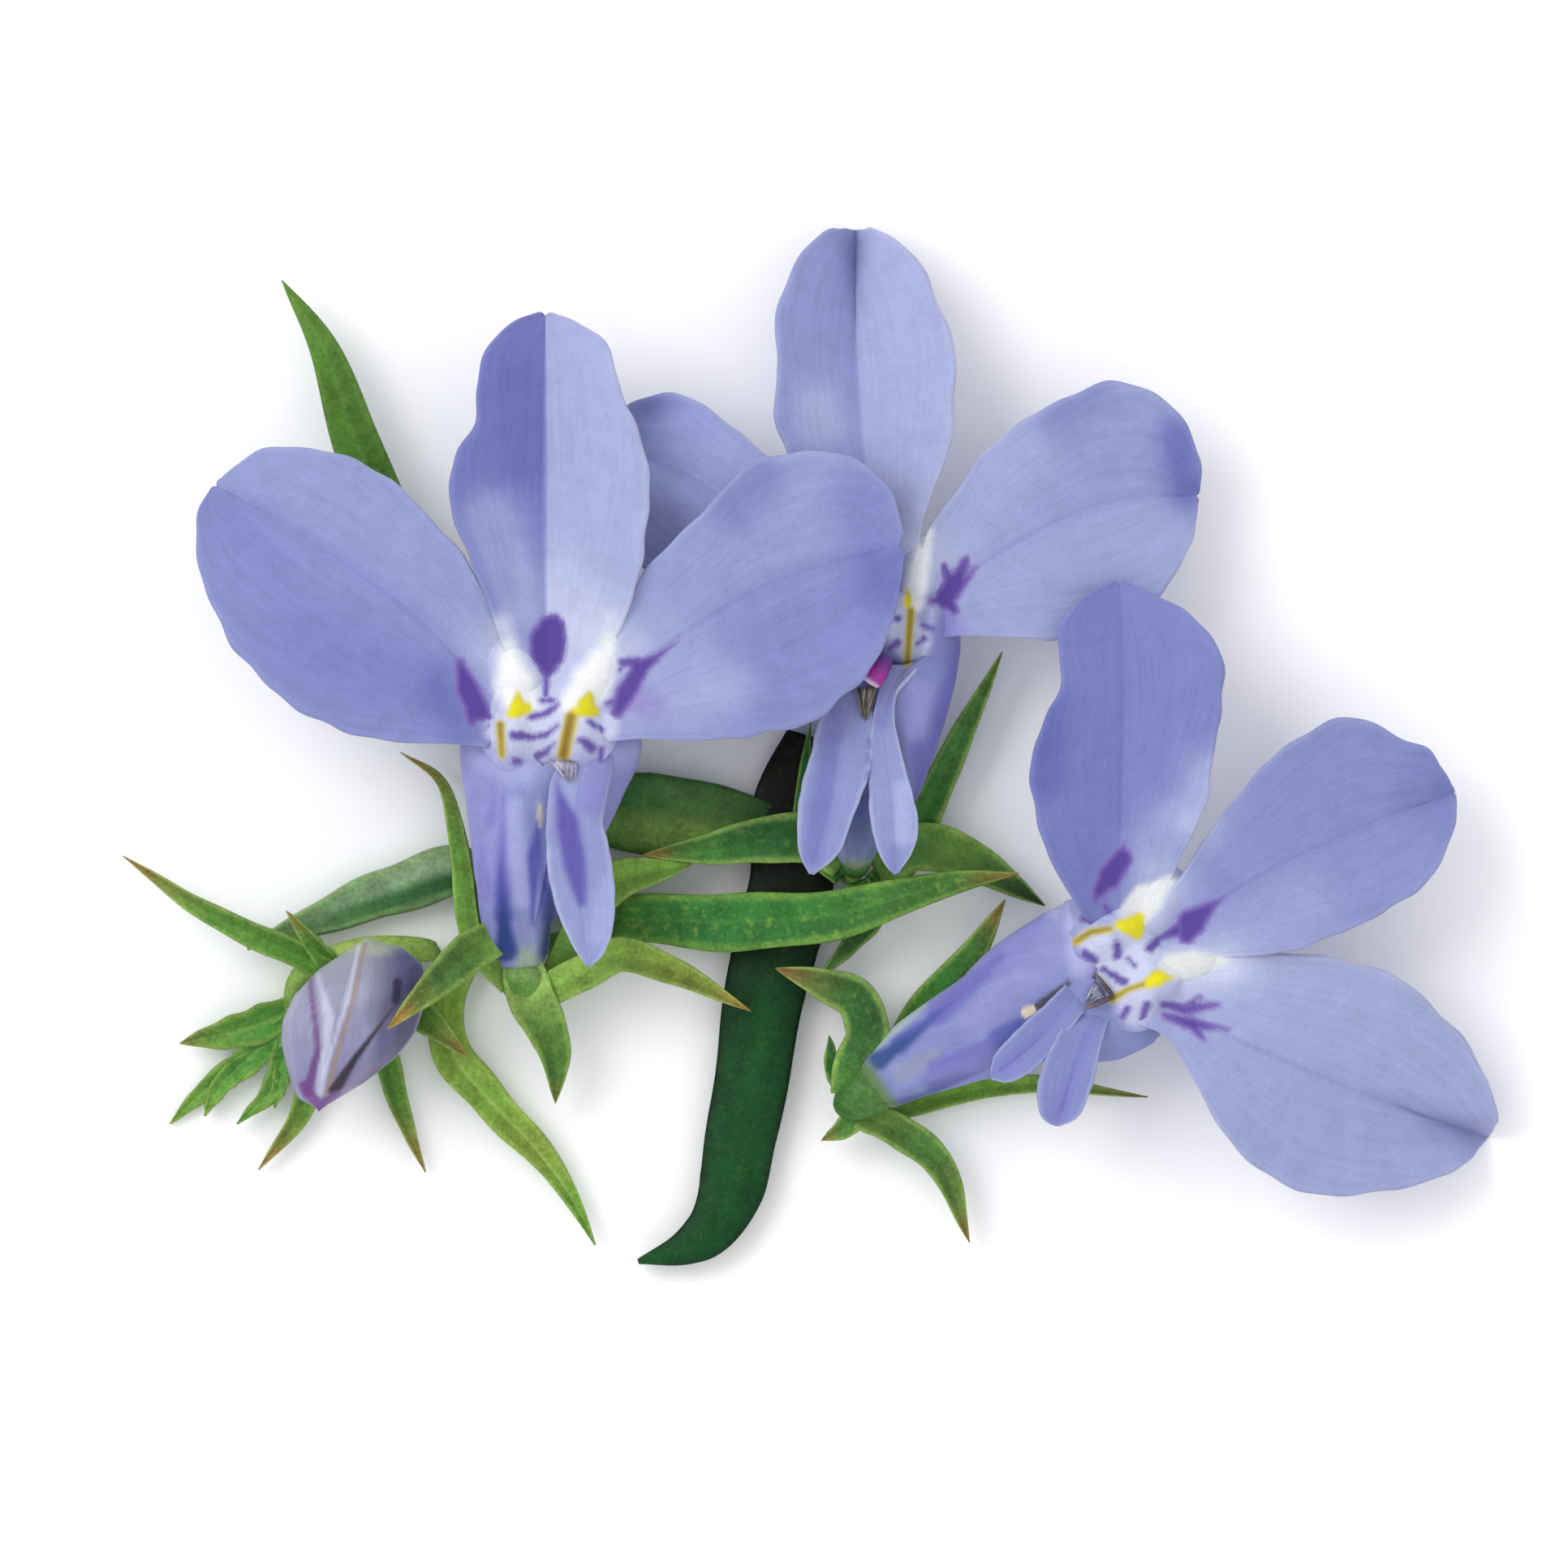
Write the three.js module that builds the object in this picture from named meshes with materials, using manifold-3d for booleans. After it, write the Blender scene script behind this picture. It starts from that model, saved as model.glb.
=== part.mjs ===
// A cut sprig of trailing lobelia that lies on a flat surface with its flowers looking up.
// Millimetres, +Z up. The origin is on the surface, under the middle of the sprig.
import * as THREE from 'three';
import { mergeVertices } from 'three/addons/utils/BufferGeometryUtils.js';
import Module from 'manifold-3d';

const wasm = await Module();
wasm.setup();

// Driving dimensions, mm. Every throat is the middle of its flower's palate.
const BLADE = 0.7; // leaves, sepals and lobes, measured upwards
const STEM_THICK = 0.9; // the flat main stem
const TUBE_WALL = 0.6;
const TIP_WIDTH = 0.12; // what is left of a blade at its point
const THROAT_LEFT = [-9.6, 0.9, 5.9];
const THROAT_BACK = [3.7, 4.5, 4.5];
const THROAT_RIGHT = [11.8, -8.1, 4.9];
const UP = new THREE.Vector3(0, 0, 1);

const PETAL = 0x979dd2;
const BUD_PETAL = 0x9a9bbd;
const CALYX_GREEN = 0x5b8a3a;
const STEM_GREEN = 0x3c6f33;
const ANTHER = 0x6b5a78;

// ---- solids -------------------------------------------------------------------------------

function signedVolume(points, index) {
  const corner = [0, 1, 2].map(() => new THREE.Vector3());
  let sum = 0;
  for (let i = 0; i < index.length; i += 3) {
    corner.forEach((p, k) => p.fromArray(points, 3 * index[i + k]));
    sum += corner[0].dot(corner[1].clone().cross(corner[2]));
  }
  return sum / 6;
}

function toSolid(points, index) {
  const faces = signedVolume(points, index) > 0 ? index : [...index].reverse();
  return new wasm.Manifold(new wasm.Mesh({
    numProp: 3,
    vertProperties: new Float32Array(points),
    triVerts: new Uint32Array(faces),
  }));
}

function geometryToSolid(geometry) {
  const bare = geometry.clone();
  bare.deleteAttribute('normal');
  bare.deleteAttribute('uv');
  const merged = mergeVertices(bare, 1e-4);
  return toSolid([...merged.attributes.position.array], [...merged.index.array]);
}

// One body from overlapping solids: its outer skin, without sealed hollows or loose scraps.
function joined(solids) {
  const whole = solids.reduce((sum, next) => sum.add(next));
  const skins = whole.decompose().sort((a, b) => b.volume() - a.volume());
  return skins[0];
}

// A closed skin of rows x columns quads. face(u, v, side) gives a point of the outer face (side 1)
// or the inner face (side -1). Both faces are split alike, so a waved skin never crosses itself.
function skin(rows, columns, face) {
  const points = [];
  const index = [];
  const stride = columns + 1;
  const inner = (rows + 1) * stride;
  for (const side of [1, -1]) {
    for (let i = 0; i <= rows; i += 1) {
      for (let j = 0; j <= columns; j += 1) {
        points.push(...face(i / rows, j / columns, side));
      }
    }
  }
  for (let i = 0; i < rows; i += 1) {
    for (let j = 0; j < columns; j += 1) {
      const a = i * stride + j;
      const b = a + 1;
      const c = a + stride;
      const d = c + 1;
      index.push(a, c, b, b, c, d);
      index.push(inner + a, inner + b, inner + c, inner + b, inner + d, inner + c);
    }
  }
  const rim = [];
  for (let j = 0; j < columns; j += 1) rim.push(j);
  for (let i = 0; i < rows; i += 1) rim.push(i * stride + columns);
  for (let j = columns; j > 0; j -= 1) rim.push(rows * stride + j);
  for (let i = rows; i > 0; i -= 1) rim.push(i * stride);
  rim.forEach((a, k) => {
    const b = rim[(k + 1) % rim.length];
    index.push(a, b, inner + b, a, inner + b, inner + a);
  });
  return toSolid(points, index);
}

function curve(points) {
  const corners = points.map(([x, y, z = 0]) => new THREE.Vector3(x, y, z));
  return new THREE.CatmullRomCurve3(corners, false, 'centripetal');
}

// Value at t of a list of values spread evenly from 0 to 1.
function along(values, t) {
  const place = t * (values.length - 1);
  const first = Math.min(Math.floor(place), values.length - 2);
  return THREE.MathUtils.lerp(values[first], values[first + 1], place - first);
}

// ---- leaves and stalks --------------------------------------------------------------------

// Width of a lance-shaped blade: `foot` of the full width at the base, widest at `widest`.
function lance(t, foot, widest) {
  if (t < widest) return foot + (1 - foot) * Math.sin((Math.PI / 2) * (t / widest));
  return Math.cos((Math.PI / 2) * ((t - widest) / (1 - widest))) ** 0.85;
}

// A leaf or sepal along a path, folded up by `fold` at its edges and waved along them.
function blade({ path, width, foot = 0.6, widest = 0.35, fold = 0.12, wave = 0.05, rows = 6 }) {
  const spine = curve(path);
  return skin(rows, 2, (u, v, side) => {
    const point = spine.getPointAt(u);
    const sideways = spine.getTangentAt(u).cross(UP).normalize();
    const half = Math.max(width * lance(u, foot, widest), TIP_WIDTH) / 2;
    const edge = 2 * v - 1;
    const ripple = wave * Math.sin(7 * Math.PI * u + edge) * Math.abs(edge);
    point.addScaledVector(sideways, edge * half * (1 + ripple));
    point.z += fold * half * Math.abs(edge) + ripple + (side * BLADE) / 2;
    return point.toArray();
  });
}

function stalk(path, radius) {
  const shape = new THREE.Shape().absarc(0, 0, radius, 0, 2 * Math.PI);
  const extrude = { steps: 2 * (path.length - 1), curveSegments: 3, extrudePath: curve(path) };
  return geometryToSolid(new THREE.ExtrudeGeometry(shape, extrude));
}

// The ovary: a short cup on the end of its stalk, its mouth turned towards `to`.
function cup(at, to, radius, length) {
  const profile = [[0, -length], [0.55, -0.85 * length], [0.95, -0.4 * length], [1, 0], [0, 0]];
  const rings = profile.map(([r, z]) => new THREE.Vector2(r * radius, z));
  const geometry = new THREE.LatheGeometry(rings, 10);
  const facing = new THREE.Vector3(...to).sub(new THREE.Vector3(...at)).normalize();
  const turn = new THREE.Quaternion().setFromUnitVectors(new THREE.Vector3(0, 1, 0), facing);
  geometry.applyQuaternion(turn);
  geometry.translate(...at);
  return geometryToSolid(geometry);
}

// Cuts away what dips below the surface, which leaves a small flat spot to rest on.
function flattenBelow(solid) {
  const slab = new THREE.BoxGeometry(80, 80, 4);
  slab.translate(0, 0, -2);
  return solid.subtract(geometryToSolid(slab));
}

// ---- flowers ------------------------------------------------------------------------------

// One lobe of a corolla. left, right and middle run from its foot to its tip, seen from above, and
// the middle also gives the height. The lobe is creased along the middle and waved at its edges.
function lobe({ left, middle, right, crease = 0.5, ruffle = 0.12, waves = 5 }, rows = 10, columns = 6) {
  const tip = middle[middle.length - 1];
  const edges = { left: curve([...left, tip]), right: curve([...right, tip]) };
  const spine = curve(middle);
  return skin(rows, columns, (u, v, side) => {
    const t = u * 0.985;
    const rib = spine.getPointAt(t);
    const part = Math.abs(2 * v - 1);
    const edge = (v < 0.5 ? edges.left : edges.right).getPointAt(t);
    const lift = crease * part * (1 - t * t) * Math.min(1, 4 * t);
    const ripple = ruffle * part * part * Math.sin(waves * Math.PI * u + 3 * v);
    return [
      THREE.MathUtils.lerp(rib.x, edge.x, part),
      THREE.MathUtils.lerp(rib.y, edge.y, part),
      rib.z + lift + ripple + (side * BLADE) / 2,
    ];
  });
}

// The corolla tube, split along its upper side. Each station holds x, y, z of the middle, half the
// width, half the height and the half angle of the split, in degrees.
function splitTube(stations) {
  const spine = curve(stations);
  const [wide, high, split] = [3, 4, 5].map((k) => stations.map((station) => station[k]));
  return skin(8, 10, (u, v, side) => {
    const point = spine.getPoint(u);
    const heading = spine.getTangent(u).setZ(0).normalize();
    const wall = side < 0 ? TUBE_WALL : 0;
    const gap = THREE.MathUtils.degToRad(along(split, u));
    const angle = Math.PI / 2 + gap + v * 2 * (Math.PI - gap);
    const sideways = (along(wide, u) - wall) * Math.cos(angle);
    return [
      point.x + heading.y * sideways,
      point.y - heading.x * sideways,
      point.z + (along(high, u) - wall) * Math.sin(angle),
    ];
  });
}

// The palate that closes the throat: two ridges side by side that run down into the tube.
function palate({ turn, half, from, to }) {
  const cos = Math.cos(THREE.MathUtils.degToRad(turn));
  const sin = Math.sin(THREE.MathUtils.degToRad(turn));
  return skin(7, 8, (u, v, side) => {
    const y = THREE.MathUtils.lerp(from, to, u);
    const x = (2 * v - 1) * half * (0.75 + 0.25 * Math.sin(Math.PI * u));
    const ridges = Math.exp(-(((x - 1.1) / 0.45) ** 2)) + Math.exp(-(((x + 1.3) / 0.45) ** 2));
    const plunge = -1.1 * Math.max(0, u - 0.6) ** 1.5 / 0.25;
    const z = 0.45 * ridges * Math.sin(Math.PI * u) + plunge + (side * BLADE) / 2;
    return [x * cos - y * sin, x * sin + y * cos, z];
  });
}

function corolla({ throat, lobes, narrowLobes, tube, mouth }) {
  const parts = [
    ...lobes.map((shape) => lobe(shape)),
    ...narrowLobes.map((shape) => lobe({ crease: 0.2, ruffle: 0.05, ...shape }, 6, 2)),
    splitTube(tube),
    palate(mouth),
  ];
  return flattenBelow(joined(parts).translate(throat));
}

// The joined stamens: a column that runs up the tube and ends in the bearded anther head.
function antherColumn({ throat, path, head, headSize }) {
  const knob = new THREE.SphereGeometry(1, 8, 5);
  knob.scale(...headSize);
  knob.translate(...head);
  return stalk(path, 0.33).add(geometryToSolid(knob)).translate(throat);
}

function leftCorolla() {
  return corolla({
    throat: THROAT_LEFT,
    mouth: { turn: 0, half: 2.5, from: 2.6, to: -1.5 },
    tube: [
      [-0.8, -8.9, -3.5, 1.0, 0.95, 14],
      [-0.7, -7.6, -3.2, 1.4, 1.05, 14],
      [-0.5, -6.0, -2.8, 2.0, 1.15, 14],
      [-0.3, -3.3, -2.1, 2.6, 1.35, 18],
      [-0.1, -0.9, -1.4, 3.2, 1.5, 40],
    ],
    lobes: [
      {
        left: [
          [-2.2, -0.9], [-3.6, -0.8], [-5.8, -0.7], [-8.6, 0.1], [-11.3, 2.4], [-12.7, 5.1], [-13, 7.4],
        ],
        middle: [[-1.4, 0.2, -0.5], [-4.9, 3.9, 0], [-8.9, 6.8, -0.5], [-12.4, 8.8, -1.7]],
        right: [
          [-0.5, 1.3], [-1.3, 3], [-2.1, 4.4], [-3.1, 6.1], [-4.5, 7.7], [-6, 9.1], [-8.2, 10],
          [-10.4, 10.1],
        ],
      },
      {
        left: [
          [-1.1, 1], [-2.2, 4.4], [-3.5, 7.7], [-3.6, 8.9], [-3.4, 9.8], [-2.7, 11], [-2.6, 12.4],
          [-2.2, 13.9], [-1.2, 14.8],
        ],
        middle: [[0, 0.9, -0.5], [-0.1, 5, 0.1], [-0.1, 10, 0], [-0.1, 15.2, -0.9]],
        right: [
          [1.2, 1], [2.7, 3.4], [3.4, 5.6], [3.75, 8.2], [3.6, 10], [2.9, 11.7], [2.6, 12.6],
          [2.2, 13.9], [1.2, 14.7],
        ],
        crease: 0.8,
      },
      {
        left: [
          [0.5, 1.3], [1.6, 2.6], [2.7, 3.8], [3.6, 5.6], [5.7, 7.7], [7.5, 9.5], [9.7, 10],
          [11.5, 9.6], [12.6, 8.6],
        ],
        middle: [[1.3, 0.4, -0.4], [4.4, 2.9, 0.3], [8.4, 5.2, 0.3], [13.2, 6.6, 0.1]],
        right: [
          [2.2, -0.7], [3.4, -0.6], [5.4, -0.7], [7.5, -0.5], [9.7, 0], [11, 1], [12.2, 2.4],
          [12.9, 4.5],
        ],
        crease: 0.4,
      },
    ],
    narrowLobes: [
      {
        left: [
          [2.25, -2.3], [2.05, -3], [2, -3.7], [2.15, -4.3], [2.4, -5.5], [2.45, -7.2], [2.15, -8.4],
        ],
        middle: [[1.2, -2.2, -0.4], [1, -5.4, -0.5], [1.5, -9.1, -0.9]],
        right: [[0.2, -2.1], [-0.1, -3], [-0.1, -5.4], [0.35, -7.1], [0.9, -8.4]],
      },
      {
        left: [[-0.4, -2.4], [-0.45, -4], [-0.45, -5], [-0.5, -6.8]],
        middle: [[-1.2, -2.2, -0.6], [-1.05, -5, -1.1], [-0.75, -7.9, -2.1]],
        right: [[-2.1, -2.2], [-1.75, -3.5], [-1.75, -5], [-1.3, -6.8]],
      },
    ],
  });
}

function backCorolla() {
  return corolla({
    throat: THROAT_BACK,
    mouth: { turn: -13, half: 2, from: 2.2, to: -1.4 },
    tube: [
      [-1.9, -8.4, -2.05, 0.9, 0.85, 14],
      [-1.7, -7.3, -2, 1.3, 0.95, 14],
      [-1.2, -5.5, -1.7, 1.9, 1.05, 14],
      [-0.8, -3.3, -1.3, 2.1, 1.15, 30],
      [-0.3, -0.8, -0.9, 2.2, 1.15, 40],
    ],
    lobes: [
      {
        left: [
          [-1.2, 0.6], [-3, 3.3], [-4.5, 6.4], [-4.9, 7.5], [-4.8, 9.8], [-4.9, 10.9], [-4.6, 12.4],
          [-4, 13.7], [-3.2, 14.5],
        ],
        middle: [[-0.3, 0.8, -0.4], [-1.5, 5, -0.3], [-1.9, 10, -1.6], [-1.9, 14.7, -4.5]],
        right: [
          [0.3, 1.1], [0.5, 3.7], [1.5, 6.5], [1.7, 8.3], [1.7, 10.2], [1, 12.2], [0.2, 13.7],
          [-0.8, 14.5],
        ],
        crease: 0.7,
      },
      {
        left: [
          [0.2, 1.6], [0.7, 3.4], [1.9, 5.1], [2.9, 6.5], [5.6, 8.3], [7.7, 9], [8.9, 8.7], [10.1, 7.7],
          [10.8, 6.2],
        ],
        middle: [[0.6, 0.7, -0.4], [4.4, 3.3, -0.3], [7.6, 4.6, -0.9], [10.8, 4.8, -1.8]],
        right: [
          [0.7, -0.6], [1.9, -0.4], [4.2, -0.5], [5.8, -0.5], [7.8, 0.1], [9.4, 1.2], [10.4, 2.9],
        ],
        crease: 0.3,
      },
      {
        left: [[-1.6, -0.4], [-4.5, -0.3], [-7.8, 0.8], [-10.2, 2.6], [-11.2, 4.8]],
        middle: [[-0.9, 0.6, -0.4], [-4.4, 2.8, -0.5], [-8, 5.2, -0.9], [-11.1, 6.9, -1.4]],
        right: [
          [-0.7, 1.4], [-2.8, 4.3], [-5.2, 6.2], [-6.2, 7.1], [-7.4, 8], [-8.7, 8.6], [-10, 8.3],
          [-10.9, 7.7],
        ],
        crease: 0.3,
      },
    ],
    narrowLobes: [
      {
        left: [[-1.8, -3], [-1.65, -4.5], [-1.7, -5.7], [-1.9, -6.5], [-2.1, -7.3], [-2.6, -8.5]],
        middle: [[-2.4, -2.9, 0], [-2.8, -6.2, 0.1], [-3.6, -9.3, -0.5]],
        right: [[-3, -3.1], [-3.6, -4.8], [-3.95, -6], [-4.1, -7.5], [-4, -8.5]],
      },
      {
        left: [
          [0.1, -1.9], [-0.4, -2.6], [-0.5, -3.4], [-0.35, -4.3], [-0.1, -5.3], [0.2, -6.4],
          [0.37, -7.2], [0.25, -8.2],
        ],
        middle: [[-0.4, -2, 0.2], [-0.8, -5, 0], [-0.44, -9.3, -0.6]],
        right: [[-0.9, -2.3], [-1.25, -3.3], [-1.3, -5.7], [-1.35, -6.9], [-1.2, -7.9], [-0.9, -8.8]],
      },
    ],
  });
}

function rightCorolla() {
  return corolla({
    throat: THROAT_RIGHT,
    mouth: { turn: -59, half: 2.4, from: 2.4, to: -1.5 },
    tube: [
      [-9.2, -4.5, -2.55, 0.95, 0.9, 14],
      [-8.2, -3.7, -2.5, 1.5, 1.1, 14],
      [-6.1, -2.6, -2.1, 1.7, 1.25, 14],
      [-3.6, -1.2, -1.7, 2.15, 1.35, 20],
      [-0.6, 0, -1.2, 3.1, 1.35, 45],
    ],
    lobes: [
      {
        left: [
          [-1.3, 1.4], [-2.1, 2.6], [-3, 4.3], [-3.6, 7], [-3.2, 8.8], [-2.5, 10.3], [-2.5, 12.6],
          [-1.5, 13.7],
        ],
        middle: [[-0.3, 1.6, -0.5], [-0.3, 5.5, 0.2], [-0.2, 10, 0.4], [-0.3, 14.3, 0.1]],
        right: [
          [1, 1.6], [1.7, 3.4], [2.9, 6.1], [3.2, 8.1], [3.5, 9.9], [3.4, 11.6], [2.5, 12.8],
          [1.4, 13.5],
        ],
        crease: 0.8,
      },
      {
        left: [
          [0.6, 1.6], [1.9, 3.2], [2.8, 4.6], [4.3, 6.6], [6.1, 8.3], [8.4, 9.2], [10.3, 8.3],
          [11.2, 8], [11.6, 7.4],
        ],
        middle: [[1.1, 0.9, -0.4], [4.8, 3.3, 0.2], [8.8, 5.2, -0.5], [12.2, 6.4, -2]],
        right: [[1.6, 0.1], [3.3, 0.3], [5.7, 0.5], [8.3, 1.4], [10.3, 2.5], [11.4, 3.5], [12.1, 5.2]],
        crease: 0.3,
      },
      {
        left: [
          [1.5, 0.15], [4.3, 0.45], [6.1, 0.45], [8.1, 0.2], [10.1, -0.5], [11.9, -2.1], [13, -3.5],
          [13.7, -5.2],
        ],
        middle: [[1, -1.2, -0.5], [4.2, -2.8, -0.3], [8.4, -4.6, -1.7], [13.5, -6.4, -4.95]],
        right: [
          [0.3, -2.1], [1.4, -2.6], [2.5, -4.3], [3.5, -6.1], [5, -7.6], [6.3, -8.3], [8.3, -8.5],
          [10.3, -8.2], [12, -7.7],
        ],
        crease: 0.4,
      },
    ],
    narrowLobes: [
      {
        left: [[-1.7, -2], [-2.4, -2.7], [-3, -3.4], [-3.7, -4], [-4.4, -4.3]],
        middle: [[-2, -1.6, 0], [-3.6, -3, 0], [-5.1, -4.15, -0.4]],
        right: [[-2.4, -1.1], [-2.9, -1.5], [-3.7, -2.1], [-4.3, -2.6], [-4.9, -3.3]],
      },
      {
        left: [[-0.7, -2], [-1.05, -3.2], [-1.2, -4], [-1.55, -4.8], [-2.05, -5.5]],
        middle: [[-1.3, -2, 0.1], [-2, -3.9, 0.1], [-2.6, -5.95, -0.4]],
        right: [[-2, -1.9], [-2.5, -2.4], [-3.05, -3.5], [-3.25, -4.6], [-3.05, -5.4]],
      },
    ],
  });
}

// The closed bud: an egg along a bent axis, pleated five times, pointed at its free end.
function budCorolla() {
  const axis = curve([
    [-16.3, -7, 3.3], [-16.6, -8, 3.4], [-16.9, -10, 3.5], [-17.1, -11.6, 3.5], [-18.1, -13.5, 3.5],
  ]);
  const radii = [0, 1.55, 2.35, 2.66, 2.6, 2.35, 1.9, 1.2, 0];
  const flatness = 0.68;
  const geometry = new THREE.SphereGeometry(1, 15, 12);
  const place = geometry.attributes.position;
  for (let i = 0; i < place.count; i += 1) {
    const u = Math.acos(THREE.MathUtils.clamp(place.getY(i), -1, 1)) / Math.PI;
    const angle = Math.atan2(place.getZ(i), place.getX(i));
    const centre = axis.getPointAt(u);
    const radius = along(radii, u) * (1 + 0.04 * Math.cos(5 * angle + 0.6));
    place.setXYZ(
      i,
      centre.x + radius * Math.cos(angle),
      centre.y + 0.25 * radius * Math.cos(angle),
      centre.z + flatness * radius * Math.sin(angle),
    );
  }
  return geometryToSolid(geometry);
}

// ---- green parts --------------------------------------------------------------------------

function leftCalyx() {
  return joined([
    cup([-10.5, -8.3, 2.3], [-10.4, -7.3, 2.45], 0.95, 1.3),
    stalk([[-10.3, -9, 1.9], [-9.7, -8.8, 1.3], [-9.1, -8.4, 1.1]], 0.35),
    blade({
      path: [
        [-11.1, -8.9, 1.8], [-12.4, -7.2, 2.1], [-12.9, -3.9, 2.2], [-13.6, -1.3, 1.8],
        [-15.1, -0.2, 1.7],
      ],
      width: 0.85,
    }),
    blade({
      path: [[-11, -8.9, 2.5], [-12.4, -8.2, 3.7], [-13.8, -8.9, 5.1], [-15.5, -10.4, 5.7]],
      width: 1.3,
      foot: 0.5,
    }),
    blade({
      path: [[-10.5, -8.7, 2.6], [-10.1, -9.6, 3], [-9.2, -11.3, 2.4], [-9.3, -13.2, 1.4]],
      width: 1.7,
      widest: 0.15,
    }),
    blade({
      path: [[-10, -9.2, 2.3], [-8.4, -8.4, 2.9], [-7, -7.7, 3.1], [-5, -8.3, 2.8], [-2.1, -9.8, 2.3]],
      width: 1.35,
    }),
    blade({
      path: [[-9.8, -9.2, 1.7], [-8.1, -7.9, 2.1], [-7.1, -5.6, 2.7], [-4.8, -4.6, 2.9]],
      width: 1.25,
      foot: 0.5,
      widest: 0.55,
    }),
  ]);
}

function backCalyx() {
  return joined([
    cup([1.7, -4.3, 2.15], [1.85, -3.3, 2.3], 0.85, 0.7),
    stalk([[1.7, -4.7, 1.8], [1.6, -4.8, 1.2], [1.5, -4.8, 0.7]], 0.35),
    blade({
      path: [
        [1.4, -4.9, 2], [0.2, -4.2, 2.1], [-1.4, -3.6, 2.15], [-2.9, -3.5, 2.15], [-6.1, -4, 2.05],
      ],
      width: 1.6,
    }),
    blade({
      path: [[1.2, -4.9, 1.8], [-0.1, -3.5, 1.75], [-0.1, -0.8, 1.75], [0.1, 0.9, 1.9]],
      width: 0.7,
    }),
    blade({
      path: [[2.5, -5.2, 1.4], [3.6, -4.2, 1.05], [4.4, -2.4, 1.25], [5.6, 0.2, 1.8], [7.2, 3.5, 2.2]],
      width: 1.25,
    }),
    blade({
      path: [[2.3, -5.3, 1.5], [4.1, -3.7, 1.35], [5.8, -4.2, 1.4], [7.5, -5.1, 1.3], [8.8, -5.9, 1.2]],
      width: 1.4,
    }),
    blade({
      path: [[1.9, -5, 1.7], [2.4, -6.2, 1.35], [1.6, -7.3, 1.4], [0.4, -8.6, 1.5]],
      width: 0.9,
    }),
  ]);
}

function rightCalyx() {
  return joined([
    cup([2.35, -12.75, 2.15], [3.2, -12.25, 2.25], 0.9, 1.2),
    stalk([[2, -13, 1.8], [2.1, -12.4, 1.2], [2.2, -11.7, 0.95]], 0.35),
    blade({
      path: [
        [1.4, -12.9, 2.2], [1.2, -11.9, 2.5], [1.7, -10.6, 2.7], [1.8, -9.5, 2.6], [0.6, -8.8, 2.6],
        [-1.2, -8.2, 2.3],
      ],
      width: 0.9,
    }),
    blade({ path: [[1.9, -13, 1.7], [1, -12.1, 1.5], [0.8, -10.7, 1.6]], width: 0.75 }),
    blade({ path: [[2, -13.2, 1.9], [1.4, -14.1, 1.6], [0.5, -14.6, 1.4]], width: 0.95 }),
    blade({
      path: [[1.9, -13.6, 1.8], [3.3, -14.2, 1.8], [4.9, -15.5, 1.6], [6, -18.4, 0.9]],
      width: 1.25,
    }),
    blade({
      path: [
        [1.9, -13.4, 1.1], [3.5, -13.4, 0.65], [5.3, -12.9, 0.65], [8.3, -12.5, 0.8], [12.6, -13, 1.2],
      ],
      width: 0.85,
    }),
    blade({
      path: [[1.9, -13.1, 1.1], [3.4, -11.3, 0.6], [4.6, -9.5, 0.9], [5.9, -8, 1.5], [7.3, -5.7, 2.1]],
      width: 1.1,
    }),
  ]);
}

// The side shoot on the left: it carries the bud's calyx and a tuft of young leaves.
function budShoot() {
  return flattenBelow(joined([
    stalk(
      [
        [-13.8, -7.7, 0.75], [-15.5, -7.8, 0.7], [-17.5, -7.9, 0.7], [-18.9, -8.6, 0.7],
        [-19.2, -10.2, 0.65],
      ],
      0.4,
    ),
    cup([-16.9, -8.9, 1.2], [-16.9, -8.6, 2.2], 0.75, 0.8),
    blade({
      path: [
        [-17.1, -8.8, 1], [-18.7, -7.8, 1.7], [-20.3, -7.1, 2.2], [-22.5, -6, 1.9], [-25.4, -4.05, 1.2],
      ],
      width: 1,
    }),
    blade({ path: [[-17.3, -8.6, 1], [-18.3, -7.4, 1.7], [-19.3, -6.1, 2.1]], width: 0.8 }),
    blade({
      path: [[-17.1, -9, 0.8], [-18.2, -12, 0.55], [-19, -13.9, 0.6], [-20.4, -15.7, 0.6]],
      width: 1.1,
    }),
    blade({
      path: [[-16.8, -9, 0.8], [-15.6, -11.8, 0.55], [-15.1, -13.5, 0.6], [-14.2, -15.8, 0.6]],
      width: 1,
    }),
    blade({
      path: [[-16.6, -8.9, 1], [-14.9, -9.5, 1.6], [-13.9, -10.3, 2.05], [-12.6, -11.5, 2.1]],
      width: 1.4,
    }),
    blade({ path: [[-18.8, -9.6, 0.6], [-20.6, -10.4, 0.65], [-23.3, -11, 0.9]], width: 1.4 }),
    blade({
      path: [[-19, -10, 0.6], [-20.9, -11.7, 0.6], [-22.4, -12.8, 0.35], [-23.7, -14, 0.2]],
      width: 1.1,
    }),
    blade({ path: [[-20.7, -11.5, 0.6], [-21.8, -12.6, 0.65], [-22.4, -13.7, 0.7]], width: 0.8 }),
    blade({ path: [[-19.1, -10, 0.6], [-19.9, -12.7, 0.65], [-21.2, -14, 0.7]], width: 0.9 }),
    blade({ path: [[-19.4, -11.6, 0.6], [-19.8, -13.4, 0.7]], width: 0.65 }),
  ]));
}

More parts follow.
